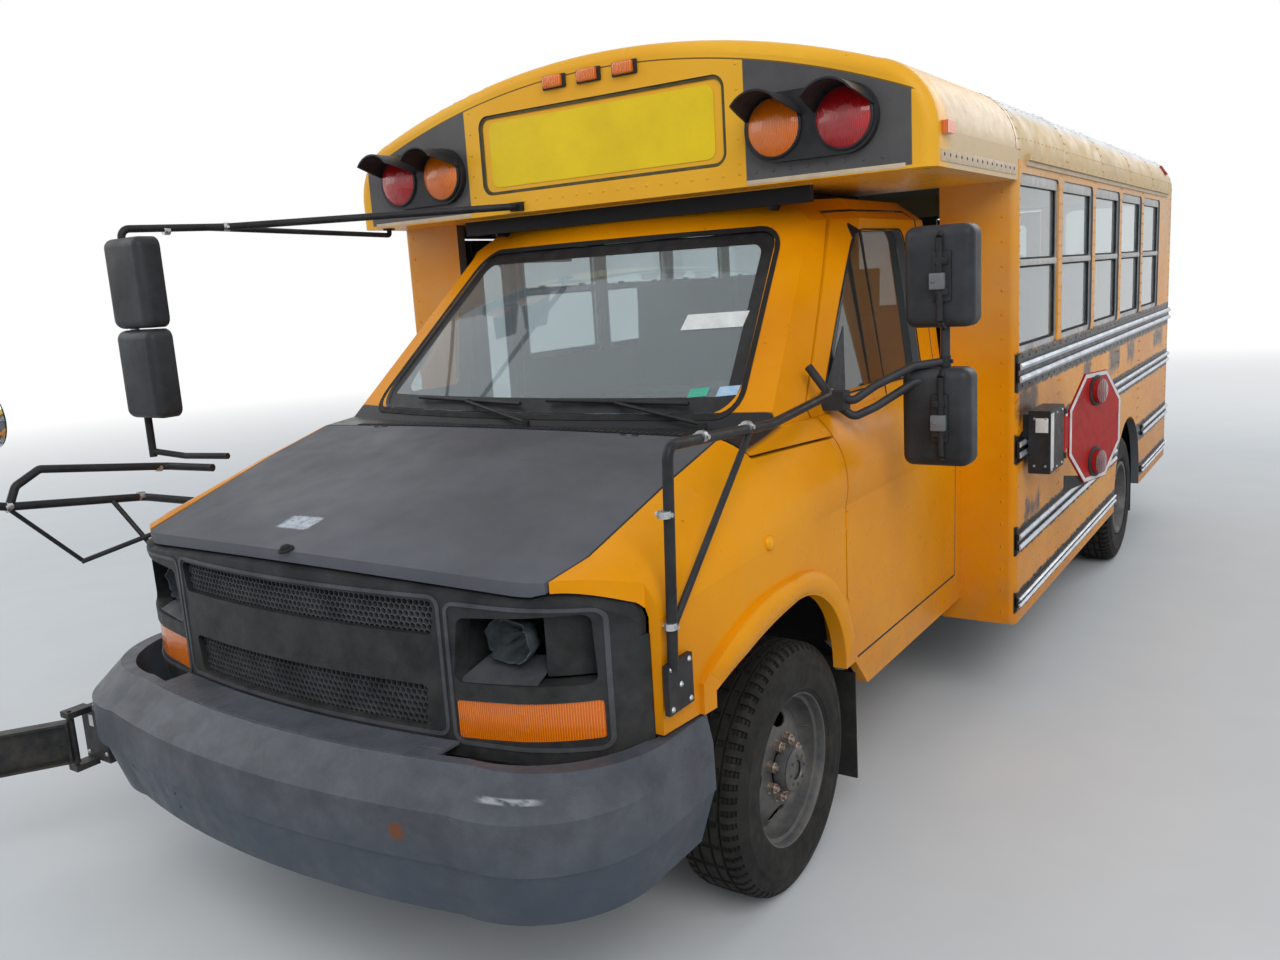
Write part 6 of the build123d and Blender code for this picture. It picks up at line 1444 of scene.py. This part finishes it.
# Hand holes of the front wheels: circle they stand on, half their size across it and along it
HOLE_CIRCLE_R = 0.147
HOLE_ACROSS = 0.0265
HOLE_ALONG = 0.044


def make_front_wheels():
    """Steel wheels whose dished faces have four oval hand holes, with the brake drums behind them."""
    turns = [radians(90 * i - 6) for i in range(4)]
    holes = [(cos(turn), sin(turn)) for turn in turns]

    def place_in(at):
        """A point's share of the way to the nearest oval's edge, that oval's direction, and both parts."""
        dy, dz = at.y - FRONT_AXLE_Y, at.z - HUB_Z
        best = min(holes, key=lambda h: (dy - HOLE_CIRCLE_R * h[0]) ** 2 + (dz - HOLE_CIRCLE_R * h[1]) ** 2)
        out = (dy * best[0] + dz * best[1] - HOLE_CIRCLE_R) / HOLE_ACROSS
        along_rim = (dz * best[0] - dy * best[1]) / HOLE_ALONG
        return hypot(out, along_rim), best, out, along_rim

    for name, side in (("left", 1), ("right", -1)):
        bm = bmesh.new()
        points = [(side * (FRONT_WHEEL_X + d), FRONT_AXLE_Y, HUB_Z + r)
                  for d, r in RIM_OUTLINE + DISH_OUTLINE]
        spin_line(bm, points, (0, FRONT_AXLE_Y, HUB_Z), (1, 0, 0), 144)
        inside = [f for f in bm.faces if place_in(f.calc_center_median())[0] < 1.0]
        bmesh.ops.delete(bm, geom=inside, context="FACES")
        for vert in [v for v in bm.verts if v.is_boundary]:
            share, best, out, along_rim = place_in(vert.co)
            if share < 1.6:
                radial = HOLE_CIRCLE_R + out / share * HOLE_ACROSS
                sideways = along_rim / share * HOLE_ALONG
                vert.co.y = FRONT_AXLE_Y + radial * best[0] - sideways * best[1]
                vert.co.z = HUB_Z + radial * best[1] + sideways * best[0]
        face_out(bm)
        solidify(bm, 0.005)
        piece = settle("front_wheel_face_" + name, bm, "wheel", "front_wheel_" + name, 35)
        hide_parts("front_wheel_" + name)
        drum = bmesh.new()
        outline = [(0.178, -0.125), (0.178, -0.075), (0.170, -0.064), (0.095, -0.060), (0.085, -0.010),
                   (0.062, 0.0)]
        turned(drum, outline, placed((side * 0.9, FRONT_AXLE_Y, HUB_Z), (side, 0, 0)), 48)
        settle("front_drum_" + name, drum, "seal", "front_wheel_" + name, 30)


def add_shell(bm, x, y, z, width, height, depth):
    """A moulded mirror shell, its front soft and its back flat."""
    made = bmesh.ops.create_cube(bm, size=1.0)["verts"]
    bmesh.ops.scale(bm, vec=(width, depth, height), verts=made)
    edges = [e for e in edges_at(made) if abs(e.verts[0].co.y - e.verts[1].co.y) > depth / 2]
    made = bevel(bm, edges, 0.0325, 5)
    faces = faces_at(points_of(made["faces"]))
    front = [e for e in edges_of(faces) if all(-v.co.y > depth / 2 - 1e-5 for v in e.verts)]
    made = bevel(bm, front, 0.0310, 5)
    faces = faces_at(points_of(made["faces"]))
    face = max((f for f in faces if -f.normal.y > 0.99), key=lambda f: f.calc_area())
    island = [face]
    rim = [face]
    while rim:
        for edge in rim.pop().edges:
            for other in edge.link_faces:
                if other not in island:
                    island.append(other)
                    rim.append(other)
    face_out(bm, island)
    bmesh.ops.translate(bm, vec=(x, y - depth / 2, z), verts=points_of(island))


def make_mirror_shells():
    """Smooth shells over the mirror heads, the door mirrors' tubes and straps, convex glass and far stay."""
    shells = {"bus": bmesh.new(), "driver_door": bmesh.new()}
    for body, x, y, z in MIRRORS:
        add_shell(shells[body], x, y - 0.0005, z, 0.2125, 0.3025, 0.0825)
    for body in shells:
        settle(body + "_mirror_shells", shells[body], "mirror_shell", body, 50)
    tubes = bmesh.new()
    tube_x, tube_y = 1.235, -1.652
    for low, high in ((1.625, 1.868), (1.215, 1.455)):
        add_rod(tubes, (tube_x, tube_y, low), (tube_x, tube_y, high), 0.0105)
        add_rod(tubes, (tube_x, tube_y, high), (tube_x, -1.625, high + 0.018), 0.0105)
        add_rod(tubes, (tube_x, tube_y, low), (tube_x, -1.612, low - 0.02), 0.0105)
    add_rod(tubes, (tube_x, -1.6, 1.48), (tube_x, tube_y, 1.455), 0.0105)
    settle("door_mirror_tubes", tubes, "black", "driver_door")
    straps = bmesh.new()
    for z in (1.742, 1.318):
        add_block(straps, (1.207, -1.668, z - 0.024), (1.252, -1.643, z + 0.024), 0.003)
        add_rivet(straps, (1.219, -1.668, z), (0, -1, 0), 0.006, 0.004, 8)
    settle("door_mirror_straps", straps, "mirror_rim", "driver_door")
    dome = bmesh.new()
    radius = 0.0932
    outline = [(radius * cos(radians(a)), radius * sin(radians(a)))
               for a in range(-20, 91, 5)]
    turned(dome, outline, placed((-1.15, -3.28, 1.5), (0, -1, 0)), 40)
    settle("cross_view_glass", dome, "mirror_glass", "bus", 80)
    stay = bmesh.new()
    x, y, low, high = -1.292, -2.69, 1.775, 2.01
    add_rod(stay, (x, y, low), (x, y, high), 0.0045, 8)
    for z in (low, high):
        add_rod(stay, (x, y, z), (-1.25, y, z), 0.0045, 8)
    settle("far_mirror_stay", stay, "bare", "bus")


def make_fascia_mouldings():
    """Raised edges round the grille and the lamps, trays of the empty lamps and pads on the bumper's step."""
    front = facing_end(0, -3.6, 0)
    bm = bmesh.new()
    rings = [[(-0.513, 0.752), (0.513, 0.752), (0.513, 1.104), (-0.513, 1.104)]]
    lamp = [(0.523, 0.738), (0.893, 0.738), (0.893, 1.080), (0.523, 1.092)]
    rings += [[(side * x, z) for x, z in lamp][::side] for side in SIDES]
    for points in rings:
        verts = add_ring(bm, points, 0.03, 0.0095, 0, front, 12)
        lay_on(verts, "front_fascia", (0, 1, 0), 0.003)
    face_out(bm)
    solidify(bm, 0.0035)
    settle("fascia_mouldings", bm, "fascia_rim", "bus", 60)

    tray = bmesh.new()
    for side in SIDES:
        x0, x1 = 0.541, 0.742
        points = [(side * x0, nose_y(x0, 0.006), 0.8935), (side * x1, nose_y(x1, 0.006), 0.8935),
                  (side * (x1 - 0.01), nose_y(x1, 0.115), 0.934),
                  (side * (x0 + 0.02), nose_y(x0, 0.115), 0.934)]
        raise_faces(tray, [tray.faces.new([tray.verts.new(p) for p in points])], (0, 0, -0.003))
        for i in range(3):
            x = side * (0.60 + 0.045 * i)
            y = nose_y(abs(x), 0.03)
            turn = Matrix.Rotation(radians(20.0), 4, "X")
            add_block(tray, (x - 0.0015, y, 0.9045), (x + 0.0015, y + 0.06, 0.9085), 0, turn)
    face_out(tray)
    settle("lamp_trays", tray, "fascia_rim", "bus", 30)

    pads = bmesh.new()
    bmesh.ops.create_grid(pads, x_segments=16, y_segments=2, size=1.0)
    for vert in pads.verts:
        x = vert.co.x * 0.538
        share = (vert.co.y + 1) / 2
        vert.co = (x, bumper_y(x, 0.100) * (1 - share) + nose_y(x, -0.004) * share, 0.7462)
    grooved = bmesh.ops.inset_individual(pads, faces=pads.faces[:], thickness=0.002, depth=0.0)["faces"]
    edge = [v for v in points_of(grooved) if v.is_boundary]
    bmesh.ops.translate(pads, vec=(0, 0, -0.0025), verts=edge)
    raise_faces(pads, pads.faces[:], (0, 0, -0.006))
    face_out(pads)
    settle("bumper_step_pads", pads, "bumper", "bus", 30)


# Floor, backdrop and lights
def seen_ray(nodes, links):
    """On where the eye looks, also in a reflection or through glass."""
    path = nodes.new("ShaderNodeLightPath")
    first = nodes.new("ShaderNodeMath")
    first.operation = "MAXIMUM"
    links.new(path.outputs["Is Camera Ray"], first.inputs[0])
    links.new(path.outputs["Is Glossy Ray"], first.inputs[1])
    second = nodes.new("ShaderNodeMath")
    second.operation = "MAXIMUM"
    links.new(first.outputs[0], second.inputs[0])
    links.new(path.outputs["Is Transmission Ray"], second.inputs[1])
    return second.outputs[0]


def set_studio():
    """Grey floor that fades into a white backdrop, the sky's light and three lamps."""
    f = Finish("studio_floor")
    colour = f.mix(f.noise(3.0, 4.0), (0.60, 0.60, 0.60), (0.66, 0.66, 0.65))
    f.dress(colour, 0.8)
    # far off, the floor fades into the white backdrop
    far = f.span(f.vector("LENGTH", f.place), 6.0, 17.0)
    glow = f.nodes.new("ShaderNodeEmission")
    fade = f.nodes.new("ShaderNodeMixShader")
    f.links.new(f.both(seen_ray(f.nodes, f.links), far), fade.inputs["Fac"])
    f.links.new(f.shader.outputs[0], fade.inputs[1])
    f.links.new(glow.outputs[0], fade.inputs[2])
    f.links.new(fade.outputs[0], f.nodes["Material Output"].inputs["Surface"])
    bm = bmesh.new()
    bmesh.ops.create_grid(bm, x_segments=1, y_segments=1, size=40)
    mesh = bpy.data.meshes.new("studio_floor")
    bm.to_mesh(mesh)
    bm.free()
    mesh.materials.append(f.material)
    floor = bpy.data.objects.new("studio_floor", mesh)
    bpy.context.scene.collection.objects.link(floor)

    world = bpy.data.worlds.new("studio_sky")
    bpy.context.scene.world = world
    world.use_nodes = True
    nodes = world.node_tree.nodes
    links = world.node_tree.links
    sky = nodes["Background"]
    sky.inputs["Color"].default_value = (0.80, 0.90, 1.0, 1)
    sky.inputs["Strength"].default_value = 0.62
    plain = nodes.new("ShaderNodeBackground")
    plain.inputs["Color"].default_value = (1, 1, 1, 1)
    choose = nodes.new("ShaderNodeMixShader")
    links.new(seen_ray(nodes, links), choose.inputs["Fac"])
    links.new(sky.outputs[0], choose.inputs[1])
    links.new(plain.outputs[0], choose.inputs[2])
    links.new(choose.outputs[0], nodes["World Output"].inputs["Surface"])

    for name, at, size, power in (("key", (7, -8, 8), 7, 620), ("fill", (-8, -6, 6), 7, 260),
                                  ("rear", (3, 10, 7), 7, 300)):
        light = bpy.data.lights.new(name, "AREA")
        light.size = size
        light.energy = power
        lamp = bpy.data.objects.new(name, light)
        lamp.location = at
        lamp.rotation_euler = (Vector((0, 0, 1)) - Vector(at)).to_track_quat("-Z", "Y").to_euler()
        bpy.context.scene.collection.objects.link(lamp)


for make in (set_camera, set_studio, finish_nodes, make_grille, make_fascia_mouldings, make_tyres,
             make_front_wheels, make_wheel_details, make_lens_domes, make_marker_lamps,
             make_roof_details, make_side_rivets, make_cap_details, make_window_details,
             make_windshield_details, make_cowl_details, make_door_details, make_mirror_details,
             make_mirror_shells, make_stop_arm_details, make_crossing_details, make_hood_details,
             make_headlamp_details, make_bumper_details, make_arch_rolls, make_fender_details,
             make_rear_details, make_entry_details):
    make()

bpy.context.scene.view_settings.view_transform = "Standard"
